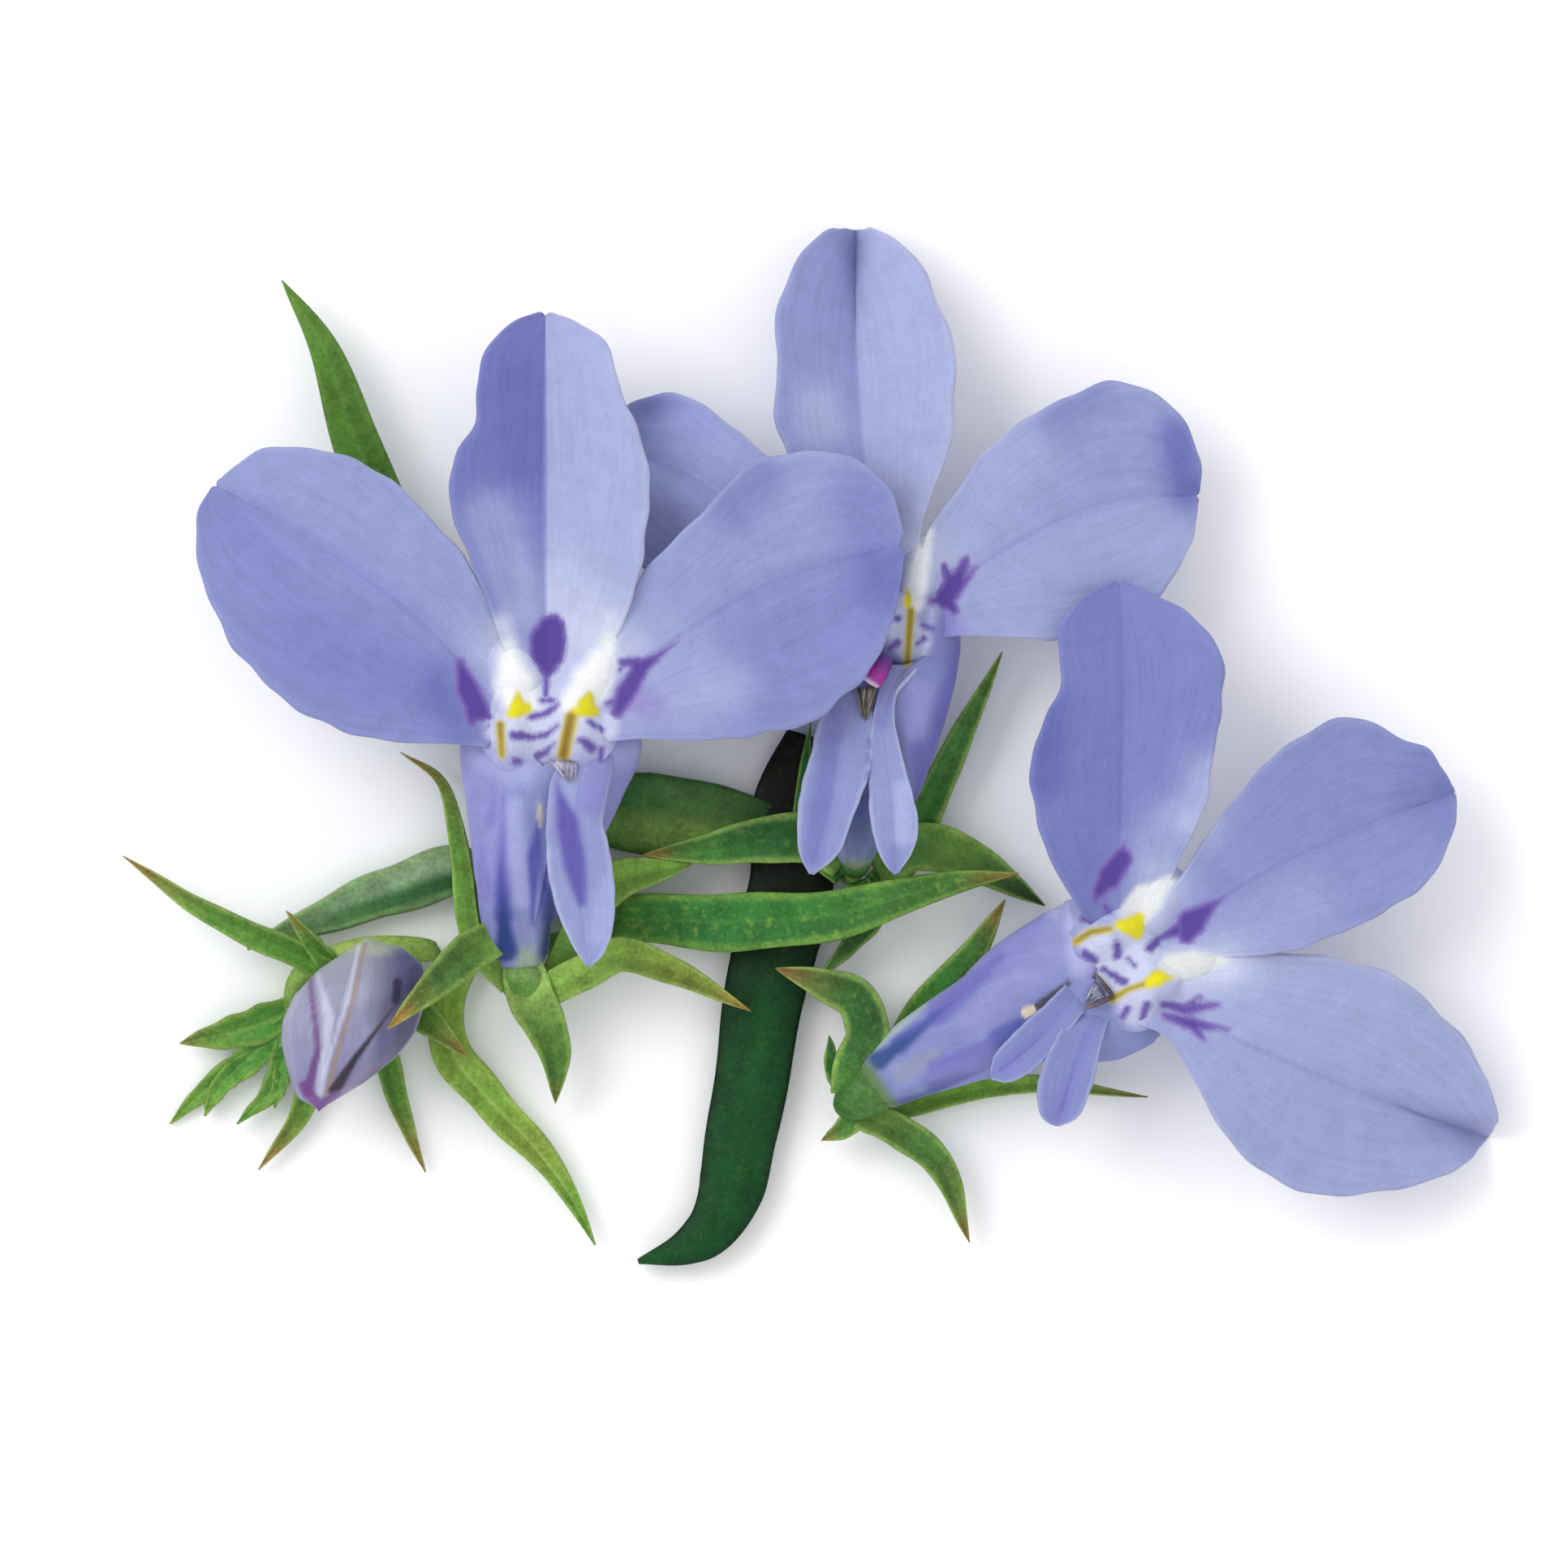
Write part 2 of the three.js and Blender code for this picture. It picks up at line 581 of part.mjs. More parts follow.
// The flat main stem, drawn out to a curved point at its lower end.
function mainStem() {
  const spine = curve([
    [0.1, 0.4, 0.85], [-0.6, -2, 0.85], [-0.6, -5, 0.85], [-1.2, -7.4, 0.85], [-1.7, -9.6, 0.85],
    [-2.1, -12.5, 0.85], [-2.5, -14.5, 0.85], [-2.9, -16.6, 0.85], [-3.6, -17.9, 0.85],
    [-4.6, -18.6, 0.85], [-6.3, -19.1, 0.85],
  ]);
  const widths = [1.8, 2.8, 3.1, 3.2, 3, 2.8, 2.7, 2.5, 1.7, 0.2];
  return skin(14, 4, (u, v, side) => {
    const point = spine.getPointAt(u);
    const heading = spine.getTangentAt(u);
    const sideways = (v - 0.5) * along(widths, u);
    const rounded = 1 - 0.5 * Math.abs(2 * v - 1) ** 2;
    point.x += heading.y * sideways;
    point.y -= heading.x * sideways;
    point.z += (side * STEM_THICK * rounded) / 2;
    return point.toArray();
  });
}

function leafyStem() {
  return joined([
    mainStem(),
    stalk(
      [[-1.1, -6.3, 0.8], [-5, -6.5, 0.75], [-8.3, -7.2, 0.7], [-11, -7.4, 0.7], [-13.4, -7.6, 0.75]],
      0.42,
    ),
    stalk(
      [[-1, -8.2, 0.75], [0.6, -8.8, 0.65], [1.6, -9.3, 0.65], [2.3, -10.2, 0.7], [2.3, -11.1, 0.85]],
      0.3,
    ),
    blade({
      path: [[-0.6, -2.4, 0.95], [-3.8, -2.6, 1], [-7.1, -2.4, 1], [-10.4, -1.7, 0.9]],
      width: 2.7,
      foot: 0.9,
    }),
    blade({
      path: [
        [-8.4, -6.7, 1.1], [-7.2, -6.4, 1.4], [-2.4, -6.5, 2.15], [1, -6.2, 2.6], [5.5, -5, 2.8],
        [7.8, -4.7, 2.9],
      ],
      width: 1.95,
      rows: 9,
    }),
    blade({
      path: [
        [-10.6, -7, 0.9], [-10.5, -1.8, 1.7], [-11.9, 2.1, 2], [-14.3, 6.2, 2.1], [-16.3, 11.2, 2.1],
        [-17.9, 14.9, 1.8], [-19.5, 17.3, 1.5],
      ],
      width: 2.2,
      widest: 0.55,
      rows: 9,
    }),
    blade({
      path: [[-11.2, -6.9, 0.75], [-12.8, -4.5, 0.75], [-15.6, -5, 0.75], [-20.7, -7.4, 0.75]],
      width: 1.9,
      fold: 0.3,
    }),
    blade({
      path: [
        [-12.4, -7.6, 0.75], [-13.6, -9.4, 0.8], [-13.5, -11.1, 0.8], [-12, -13.7, 0.9],
        [-10.2, -15.2, 0.9], [-7.9, -18.5, 0.8],
      ],
      width: 1.4,
      wave: 0.12,
      rows: 10,
    }),
  ]);
}

// ---- assembly -----------------------------------------------------------------------------

function mesh(name, solid, colour, roughness) {
  const faces = solid.getMesh();
  const geometry = new THREE.BufferGeometry();
  geometry.setAttribute('position', new THREE.BufferAttribute(faces.vertProperties, 3));
  geometry.setIndex(new THREE.BufferAttribute(faces.triVerts, 1));
  geometry.computeVertexNormals();
  const material = new THREE.MeshStandardMaterial({ color: colour, roughness, metalness: 0 });
  const part = new THREE.Mesh(geometry, material);
  part.name = name;
  return part;
}

const sprig = new THREE.Group();
sprig.add(
  mesh('leafy_stem', leafyStem(), STEM_GREEN, 0.6),
  mesh('bud_shoot', budShoot(), CALYX_GREEN, 0.6),
  mesh('bud_corolla', budCorolla(), BUD_PETAL, 0.7),
  mesh('left_calyx', leftCalyx(), CALYX_GREEN, 0.6),
  mesh('left_corolla', leftCorolla(), PETAL, 0.7),
  mesh('back_calyx', backCalyx(), CALYX_GREEN, 0.6),
  mesh('back_corolla', backCorolla(), PETAL, 0.7),
  mesh('right_calyx', rightCalyx(), CALYX_GREEN, 0.6),
  mesh('right_corolla', rightCorolla(), PETAL, 0.7),
  mesh('left_anthers', antherColumn({
    throat: THROAT_LEFT,
    path: [[-0.5, -5.2, -2.5], [-0.1, -3.8, -2.2], [0.3, -2.9, -1.8]],
    head: [0.4, -2.6, -1.8],
    headSize: [0.42, 0.55, 0.42],
  }), ANTHER, 0.6),
  mesh('back_anthers', antherColumn({
    throat: THROAT_BACK,
    path: [[-1.1, -4.4, -1.35], [-0.85, -3.6, -1.15], [-0.85, -2.8, -0.7]],
    head: [-0.8, -2.4, -0.3],
    headSize: [0.4, 0.75, 0.4],
  }), ANTHER, 0.6),
  mesh('right_anthers', antherColumn({
    throat: THROAT_RIGHT,
    path: [[-5, -2, -1.8], [-3.6, -1.3, -1.6], [-2.6, -0.9, -1.2]],
    head: [-2.3, -0.8, -0.9],
    headSize: [0.5, 0.45, 0.45],
  }), ANTHER, 0.6),
);

export default sprig;
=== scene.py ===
import math
import random

import bmesh
import bpy
import numpy as np
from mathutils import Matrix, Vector


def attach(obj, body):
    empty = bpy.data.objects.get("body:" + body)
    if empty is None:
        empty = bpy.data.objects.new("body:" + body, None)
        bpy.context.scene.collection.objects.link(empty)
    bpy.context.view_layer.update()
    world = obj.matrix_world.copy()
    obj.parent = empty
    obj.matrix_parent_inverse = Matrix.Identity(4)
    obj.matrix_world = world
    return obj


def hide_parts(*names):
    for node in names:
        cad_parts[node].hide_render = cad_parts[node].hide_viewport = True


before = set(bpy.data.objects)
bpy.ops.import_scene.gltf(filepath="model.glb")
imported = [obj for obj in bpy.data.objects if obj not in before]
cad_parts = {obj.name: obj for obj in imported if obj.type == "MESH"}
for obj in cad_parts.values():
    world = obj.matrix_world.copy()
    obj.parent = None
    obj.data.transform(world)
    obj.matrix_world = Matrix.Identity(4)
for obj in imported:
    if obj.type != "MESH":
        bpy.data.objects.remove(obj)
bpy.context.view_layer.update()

MM = 0.001

# ---- The table, the light and the camera ---------------------------------------------------
# The sprig lies on a sheet of matt white card under a bright overcast window on its left, and
# the camera looks straight down on it through a long lens.


def linear(colour):
    """An sRGB hex colour as linear red, green and blue."""
    parts = [int(colour[k : k + 2], 16) / 255 for k in (1, 3, 5)]
    return np.array([p / 12.92 if p <= 0.04045 else ((p + 0.055) / 1.055) ** 2.4 for p in parts])


def node(tree, kind, inputs=None, **settings):
    """Adds a node. Each input is a value or the output of another node."""
    made = tree.nodes.new(kind)
    for name, value in settings.items():
        setattr(made, name, value)
    for place, value in (inputs or {}).items():
        if isinstance(value, bpy.types.NodeSocket):
            tree.links.new(value, made.inputs[place])
        else:
            made.inputs[place].default_value = value
    return made


# Card, pressed smooth: white and without gloss, so that it takes only a soft shadow.
card = bpy.data.materials.new("matt_white_card")
card.use_nodes = True
card_shader = card.node_tree.nodes["Principled BSDF"]
card_shader.inputs["Base Color"].default_value = (*linear("#fbfbfc"), 1)
card_shader.inputs["Roughness"].default_value = 0.95
card_shader.inputs["Specular IOR Level"].default_value = 0.1

CARD_REACH = 700  # mm from its middle to each edge, well out of the picture
table = bmesh.new()
bmesh.ops.create_grid(table, x_segments=2, y_segments=2, size=CARD_REACH * MM)
table_mesh = bpy.data.meshes.new("table")
table.to_mesh(table_mesh)
table.free()
table_mesh.materials.append(card)
table_top = bpy.data.objects.new("table", table_mesh)
bpy.context.collection.objects.link(table_top)

scene = bpy.context.scene
scene.view_settings.view_transform = "Standard"
scene.world = bpy.data.worlds.new("overcast_room")
scene.world.use_nodes = True
sky = scene.world.node_tree.nodes["Background"]
sky.inputs["Color"].default_value = (*linear("#fdfdff"), 1)
sky.inputs["Strength"].default_value = 1.02

WINDOW_PLACE = Vector((-0.55, 0.35, 0.75)).normalized() * 900  # mm
window = bpy.data.lights.new("window", "AREA")
window.size = 0.5
window.energy = 3
window_lamp = bpy.data.objects.new("window", window)
window_lamp.location = WINDOW_PLACE * MM
window_lamp.rotation_euler = window_lamp.location.to_track_quat("Z", "Y").to_euler()
bpy.context.collection.objects.link(window_lamp)

CAMERA_HEIGHT = 800  # mm above the table
FRAME_WIDTH = 57.96  # mm across the whole picture, at the height of the flowers
FRAME_MIDDLE = (-0.885, -1.38)
FLOWER_HEIGHT = 4
lens = bpy.data.cameras.new("camera")
lens.sensor_width = 36
lens.lens = lens.sensor_width * (CAMERA_HEIGHT - FLOWER_HEIGHT) / FRAME_WIDTH
camera = bpy.data.objects.new("camera", lens)
camera.location = Vector((*FRAME_MIDDLE, CAMERA_HEIGHT)) * MM
bpy.context.collection.objects.link(camera)
scene.camera = camera

# ---- The main stem -------------------------------------------------------------------------
# The flat, winged green stem that everything else springs from. It was cut below, and its last
# stretch curls aside to a drawn-out point. Its two wings are darker.


def smooth_line(corners, steps=40):
    """A curve through the corners. The result gives its points at places from 0 to 1."""
    knots = np.array([[*corner, 0][:3] for corner in corners], float)
    knots = np.vstack([2 * knots[0] - knots[1], knots, 2 * knots[-1] - knots[-2]])
    spans = []
    for a, b, c, d in zip(knots, knots[1:], knots[2:], knots[3:]):
        gaps = [np.linalg.norm(q - p) ** 0.5 for p, q in ((a, b), (b, c), (c, d))]
        ta, tb, tc, td = np.cumsum([0, *gaps])
        t = np.linspace(tb, tc, steps)[:, None]
        ab = ((tb - t) * a + (t - ta) * b) / (tb - ta)
        bc = ((tc - t) * b + (t - tb) * c) / (tc - tb)
        cd = ((td - t) * c + (t - tc) * d) / (td - tc)
        abc = ((tc - t) * ab + (t - ta) * bc) / (tc - ta)
        bcd = ((td - t) * bc + (t - tb) * cd) / (td - tb)
        spans.append(((tc - t) * abc + (t - tb) * bcd) / (tc - tb))
    dense = np.concatenate(spans)
    steps_run = np.linalg.norm(np.diff(dense, axis=0), axis=1)
    run = np.concatenate([[0], np.cumsum(steps_run)]) / steps_run.sum()
    return lambda t: np.stack([np.interp(t, run, dense[:, k]) for k in range(3)], -1)


def headings(line, t):
    """Unit vectors along a line at the places t."""
    ahead = line(np.minimum(t + 0.01, 1)) - line(np.maximum(t - 0.01, 0))
    return ahead / np.linalg.norm(ahead, axis=-1, keepdims=True)


def spread(values, t):
    """The value at t of a list of values spread evenly from 0 to 1."""
    return np.interp(t, np.linspace(0, 1, len(values)), values)


def step(low, high, x):
    """0 at low, 1 at high, and smooth between."""
    t = np.clip((x - low) / (high - low), 0, 1)
    return t * t * (3 - 2 * t)


def blend(first, second, share):
    """Two colours or lists of colours mixed, with a share of the second."""
    share = np.asarray(share)[..., None]
    return first * (1 - share) + second * share


def gradient(colours, t):
    """Colours at the places t along an even row of hex colours."""
    row = np.array([linear(colour) for colour in colours])
    return np.stack([spread(row[:, k], t) for k in range(3)], -1)


def new_piece():
    """An empty mesh that keeps a colour at each point and a flat map of each blade."""
    piece = bmesh.new()
    piece.loops.layers.uv.new("blade_map")
    piece.verts.layers.float_color.new("paint")
    return piece


def lay(piece, rows, columns, place, paint):
    """Adds a blade: a flat grid, bent to place(along, across) and coloured by paint(...)."""
    grid = bmesh.ops.create_grid(
        piece, x_segments=columns, y_segments=rows, size=1, calc_uvs=True
    )["verts"]
    flat = np.array([corner.co[:2] for corner in grid])
    along, across = (flat[:, 1] + 1) / 2, flat[:, 0]
    layer = piece.verts.layers.float_color["paint"]
    for corner, point, colour in zip(grid, place(along, across), paint(along, across)):
        corner.co = point * MM
        corner[layer] = (*colour, 1)
    return grid


def finish_piece(piece, name, material, cad_node, wall=0):
    """Turns a mesh into an object that stands for a CAD node. wall is its thickness in mm."""
    bmesh.ops.recalc_face_normals(piece, faces=piece.faces)
    mesh = bpy.data.meshes.new(name)
    piece.to_mesh(mesh)
    piece.free()
    mesh.shade_smooth()
    mesh.materials.append(material)
    made = bpy.data.objects.new(name, mesh)
    bpy.context.collection.objects.link(made)
    if wall:
        shell = made.modifiers.new("wall", "SOLIDIFY")
        shell.thickness = wall * MM
        shell.offset = 0
    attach(made, "root")
    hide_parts(cad_node)
    return made


def painted_skin(name, gloss):
    """A new material, its nodes and its shader, and the colour that a mesh keeps at each point."""
    skin = bpy.data.materials.new(name)
    skin.use_nodes = True
    shader = skin.node_tree.nodes["Principled BSDF"]
    shader.inputs["Roughness"].default_value = gloss
    paint = node(skin.node_tree, "ShaderNodeAttribute", attribute_name="paint")
    return skin, skin.node_tree, shader, paint.outputs["Color"]


def dress(tree, shader, colour, height, strength, depth):
    """Gives a shader its colour and a fine relief, with its depth in mm."""
    relief = node(
        tree, "ShaderNodeBump", {"Height": height, "Strength": strength, "Distance": depth * MM}
    )
    tree.links.new(colour, shader.inputs["Base Color"])
    tree.links.new(relief.outputs[0], shader.inputs["Normal"])


def green_skin(name, gloss, cell_size, freckling):
    """Living leaf skin: a waxy green, blotched where its cells lie deeper, with pale freckles."""
    skin, tree, shader, paint = painted_skin(name, gloss)
    place = node(tree, "ShaderNodeTexCoord").outputs["Object"]
    cell = 1 / (cell_size * MM)
    cells = node(
        tree, "ShaderNodeTexNoise", {"Vector": place, "Scale": cell, "Detail": 3, "Roughness": 0.6}
    )
    blotches = node(tree, "ShaderNodeTexNoise", {"Vector": place, "Scale": cell / 5})
    mottle = node(
        tree, "ShaderNodeMath", {0: cells.outputs[0], 1: 1.1, 2: -0.1}, operation="MULTIPLY_ADD"
    )
    clouds = node(
        tree, "ShaderNodeMath", {0: blotches.outputs[0], 1: 0.9, 2: mottle.outputs[0]},
        operation="MULTIPLY_ADD",
    )
    shaded = node(
        tree, "ShaderNodeVectorMath", {0: paint, "Scale": clouds.outputs[0]}, operation="SCALE"
    )
    freckles = node(
        tree, "ShaderNodeTexNoise",
        {"Vector": place, "Scale": cell / 2.4, "Detail": 2, "Roughness": 0.7},
    )
    freckled = node(
        tree, "ShaderNodeMapRange",
        {0: freckles.outputs[0], "From Min": 0.54, "From Max": 0.74, "To Max": freckling},
    )
    speckled = node(
        tree, "ShaderNodeMix",
        {"Factor": freckled.outputs[0], 6: shaded.outputs[0], 7: (*linear("#93ad45"), 1)},
        data_type="RGBA",
    )
    dress(tree, shader, speckled.outputs[2], cells.outputs[0], 0.35, 0.04)
    shader.inputs["Specular IOR Level"].default_value = 0.14
    return skin


stem_skin = green_skin("main_stem_skin", 0.5, 0.16, 0.04)

STEM_THICK = 0.9
STEM_HEIGHT = 0.85  # mm, of its middle above the table
STEM_PATH = [
    (0.1, 0.4), (-0.6, -2), (-0.6, -5), (-1.2, -7.4), (-1.7, -9.6), (-2.1, -12.5), (-2.5, -14.5),
    (-2.9, -16.6), (-3.6, -17.9), (-4.6, -18.6), (-6.3, -19.1),
]
stem_line = smooth_line([(x, y, STEM_HEIGHT) for x, y in STEM_PATH])
STEM_WIDTHS = [1.8, 2.8, 3.1, 3.2, 3, 2.8, 2.7, 2.5, 1.7, 0.2]


def stem_face(side):
    """The upper (1) or lower (-1) face of the main stem."""

    def place(along, across):
        points = stem_line(along)
        ahead = headings(stem_line, along)
        reach = across / 2 * spread(STEM_WIDTHS, along)
        rounded = 1 - 0.5 * np.abs(across) ** 2
        points[:, 0] += ahead[:, 1] * reach
        points[:, 1] -= ahead[:, 0] * reach
        points[:, 2] += side * STEM_THICK * rounded / 2
        return points

    return place


# The stem starts near black at its upper end, which lies under the back flower: painted deep
# shadow.
def stem_paint(along, across):
    greens = ["#0a1b0d", "#073214", "#0b401a", "#0b411b", "#0a3f1a", "#0e451e"]
    body = gradient(["#0d0805", "#0e0a06", *greens], along)
    rim = gradient(["#0d0a06", "#0b180d", "#0a2a14", "#0c3018", "#0a2c15"], along)
    glow = step(0.3, 0.5, along) * np.exp(-(((across + 0.1) / 0.4) ** 2))
    body = blend(body, linear("#165022"), 0.5 * glow)
    return blend(body, rim, step(0.72, 0.98, np.abs(across)))


main_stem = new_piece()
for side in (1, -1):
    lay(main_stem, 120, 20, stem_face(side), stem_paint)
SEAM = 1e-7  # m: points that lie closer are one
bmesh.ops.remove_doubles(main_stem, verts=main_stem.verts, dist=SEAM)
rims = [edge for edge in main_stem.edges if edge.is_boundary]
bmesh.ops.bridge_loops(main_stem, edges=rims)
finish_piece(main_stem, "main_stem", stem_skin, "leafy_stem")

# ---- The side branches ---------------------------------------------------------------------
# Thin round green stalks that leave the main stem low down, one to the bud's shoot and the left
# flower, one to the right flower. Leaves and sepals hide most of their length.


def rod(piece, path, radii, paint, rows=30, sides=16, squash=1, bluntness=14):
    """Adds a closed round stalk. Its radii are spread evenly from end to end."""
    line = smooth_line(path)

    def place(along, across):
        points = line(along)
        ahead = headings(line, along)
        aside = np.stack([ahead[:, 1], -ahead[:, 0], 0 * along], -1)
        aside /= np.linalg.norm(aside, axis=1, keepdims=True)
        above = np.cross(aside, ahead)
        ends = np.sqrt(1 - np.abs(2 * along - 1) ** bluntness)
        radius = (spread(radii, along) * ends)[:, None]
        angle = (math.pi * across)[:, None]
        return points + radius * (aside * np.sin(angle) + squash * above * np.cos(angle))

    skin = lay(piece, rows, sides, place, paint)
    bmesh.ops.remove_doubles(piece, verts=skin, dist=SEAM / 10)


def stalk_paint(colours):
    return lambda along, across: gradient(colours, along)


side_branches = new_piece()
rod(
    side_branches,
    [(-1.1, -6.3, 0.8), (-5, -6.5, 0.75), (-8.3, -7.2, 0.7), (-11, -7.4, 0.7), (-13.4, -7.6, 0.75)],
    [0.42, 0.42],
    stalk_paint(["#35602c", "#5f8a3c", "#7ba04a", "#8fb45a"]),
)
rod(
    side_branches,
    [(-1, -8.2, 0.75), (0.6, -8.8, 0.65), (1.6, -9.3, 0.65), (2.3, -10.2, 0.7), (2.3, -11.1, 0.85)],
    [0.3, 0.3],
    stalk_paint(["#35602c", "#5f8a3c", "#6f9a44"]),
)
finish_piece(side_branches, "side_branches", stem_skin, "leafy_stem")

# ---- The leaves ----------------------------------------------------------------------------
# Narrow, pointed green leaves without stalks, seated on the main stem and its branches. Each is
# folded a little along its midrib, paler at its margins, and waved where it dried first.


def lance(t, foot, widest):
    """Width of a pointed blade: foot of the full width at its base, all of it at widest."""
    swelling = foot + (1 - foot) * np.sin(math.pi / 2 * t / widest)
    tapering = np.cos(math.pi / 2 * np.clip((t - widest) / (1 - widest), 0, 1)) ** 0.85
    return np.where(t < widest, swelling, tapering)


LEAF_TIP = 0.03  # mm, what is left of a blade's width at its point


def leaf(piece, path, width, colours, foot=0.6, widest=0.35, fold=0.12, wave=0.05, edge=None,
         rib=None, shadow=0.25, half=None, rows=56):
    """Adds a leaf or sepal. Its colours run from base to tip. One half lies in shadow, or has
    colours of its own."""
    line = smooth_line(path)

    def place(along, across):
        points = line(along)
        ahead = headings(line, along)
        flat = np.hypot(ahead[:, 0], ahead[:, 1])
        half = np.maximum(width * lance(along, foot, widest), LEAF_TIP) / 2
        ripple = 2 * half / width * wave * np.sin(7 * math.pi * along + across) * np.abs(across)
        reach = across * half * (1 + ripple) / flat
        points[:, 0] += ahead[:, 1] * reach
        points[:, 1] -= ahead[:, 0] * reach
        points[:, 2] += fold * half * np.sqrt(across**2 + 0.02) + ripple
        return points

    def paint(along, across):
        body = gradient(colours, along)
        body = body * (1 - shadow * step(-0.12, 0.12, across))[:, None]
        if half:
            body = blend(body, gradient(half, along), step(-0.25, 0.05, across))
        if edge:
            body = blend(body, linear(edge), 0.65 * step(0.62, 1, np.abs(across)))
        if rib:
            body = blend(body, linear(rib), 0.5 * np.exp(-((across / 0.1) ** 2)))
        return body

    lay(piece, rows, 12, place, paint)


LEAF_WALL = 0.3
leaf_skin = green_skin("leaf_skin", 0.5, 0.16, 0.4)

LEAVES = [  # name, skin, path of the midrib, width, colours from base to tip, other settings
    (
        "upper_left_leaf", stem_skin,
        [(-10.6, -7, 0.9), (-10.5, -1.8, 1.7), (-12, 2.1, 2), (-14.7, 6.6, 2.1),
         (-16.7, 11.2, 2.1), (-18, 14.9, 1.8), (-19.5, 17.3, 1.5)],
        1.85, ["#33602a", "#3a6828", "#406e26", "#447228", "#487626", "#4f7a2a", "#5f8634"],
        {"widest": 0.68, "edge": "#5f8a3c", "rib": "#5a8a3c", "shadow": 0.16, "wave": 0.02},
    ),
    (
        "dark_leaf", stem_skin,
        [(-0.3, -3.35, 0.95), (-2.2, -2.95, 1), (-4.1, -2.75, 1), (-6.5, -2.45, 1),
         (-10.4, -2.1, 0.9)],
        3.1, ["#33481c", "#64883a", "#769a46", "#6a9042", "#558438", "#4c7e34"],
        {"half": ["#1a2c12", "#406432", "#48743a", "#2c6634", "#215a2c"], "foot": 0.4,
         "widest": 0.5, "edge": "#34602c", "rib": "#718c44", "shadow": 0, "wave": 0.02},
    ),
    (
        "long_front_leaf", leaf_skin,
        [(-8.4, -6.7, 1.1), (-7.2, -6.4, 1.4), (-2.4, -6.5, 2.15), (1, -6.2, 2.6), (5.5, -5, 2.8),
         (7.8, -4.7, 2.9)],
        2.1,
        ["#557f34", "#387430", "#2e7434", "#337430", "#387533", "#437534", "#487634", "#8a6034"],
        {"edge": "#7aa646", "rib": "#4f8838", "shadow": 0.14, "rows": 90},
    ),
    (
        "turned_leaf", stem_skin,
        [(-11.2, -6.9, 0.75), (-12.6, -4.7, 0.75), (-15.6, -5.4, 0.75), (-18.2, -6.4, 0.75),
         (-20.8, -7.5, 0.75)],
        1.85, ["#24502a", "#23562a", "#2a5c2c", "#3c6c3a", "#557a4c", "#4f783c"],
        {"half": ["#5f7a54", "#7f9c74", "#8aa880", "#7c9c72", "#6c8c62", "#5a7e48"],
         "fold": 0.3, "edge": "#86a868", "rib": "#4f7a48", "shadow": 0},
    ),
    (
        "pale_front_leaf", leaf_skin,
        [(-12.4, -7.6, 0.75), (-13.4, -9.4, 0.8), (-13.1, -11.5, 0.8), (-11.9, -13, 0.9),
         (-10.2, -14.8, 0.9), (-8.9, -16.5, 0.85), (-7.9, -18.5, 0.8)],
        1.45, ["#55872f", "#7ca53c", "#82a745", "#76a03e", "#82983f", "#689638", "#568c30"],
        {"wave": 0.07, "edge": "#9ab856", "rib": "#a6c066", "shadow": 0.2, "rows": 90},
    ),
]
for name, skin, path, width, colours, settings in LEAVES:
    blade = new_piece()
    leaf(blade, path, width, colours, **settings)
    finish_piece(blade, name, skin, "leafy_stem", LEAF_WALL)

# ---- The bud's shoot -----------------------------------------------------------------------
# A short green side shoot on the left. It carries the five narrow sepals round the bud and, at
# its end, a tuft of young leaves whose tips have begun to brown.

calyx_skin = green_skin("calyx_skin", 0.5, 0.14, 0.18)
SEPAL_WALL = 0.26
SEPAL = ["#5f9440", "#5d943a", "#548834", "#588634", "#74803a", "#985f36"]
SEPAL_EDGE = "#93b55a"

bud_shoot_stalk = new_piece()
rod(
    bud_shoot_stalk,
    [(-13.6, -7.6, 0.95), (-15.3, -7.5, 1), (-17.2, -7.7, 0.9), (-18.9, -8.6, 0.7),
     (-19.2, -10.2, 0.65)],
    [0.45, 0.52, 0.42, 0.3],
    stalk_paint(["#7ba04a", "#96b656", "#a2bd60", "#8fb45a", "#5f8a3c"]),
)
rod(
    bud_shoot_stalk,
    [(-16.9, -9.1, 0.5), (-16.9, -8.9, 1.2), (-16.9, -8.6, 2.2)],
    [0.5, 0.72, 0.75, 0.7],
    stalk_paint(["#6f9a44", "#7ba552"]),
)
finish_piece(bud_shoot_stalk, "bud_shoot_stalk", calyx_skin, "bud_shoot")

bud_sepals = new_piece()
for path, width in (
    ([(-17.1, -8.8, 1), (-18.7, -7.8, 1.7), (-20.3, -7.1, 2.2), (-22.5, -6, 1.9),
      (-25.4, -4.05, 1.2)], 1),
    ([(-17.3, -8.6, 1), (-18.3, -7.4, 1.7), (-19.3, -6.1, 2.1)], 0.8),
    ([(-17.1, -9, 0.8), (-18.2, -12, 0.55), (-19, -13.9, 0.6), (-20.4, -15.7, 0.6)], 1.1),
    ([(-16.8, -9, 0.8), (-15.6, -11.8, 0.55), (-15.1, -13.5, 0.6), (-14.2, -15.8, 0.6)], 1),
    ([(-16.6, -8.9, 1), (-14.9, -9.5, 1.6), (-13.9, -10.3, 2.05), (-12.6, -11.5, 2.1)], 1.4),
):
    leaf(bud_sepals, path, width, SEPAL, foot=0.8, widest=0.25, wave=0.03, edge=SEPAL_EDGE)
finish_piece(bud_sepals, "bud_sepals", calyx_skin, "bud_shoot", SEPAL_WALL)

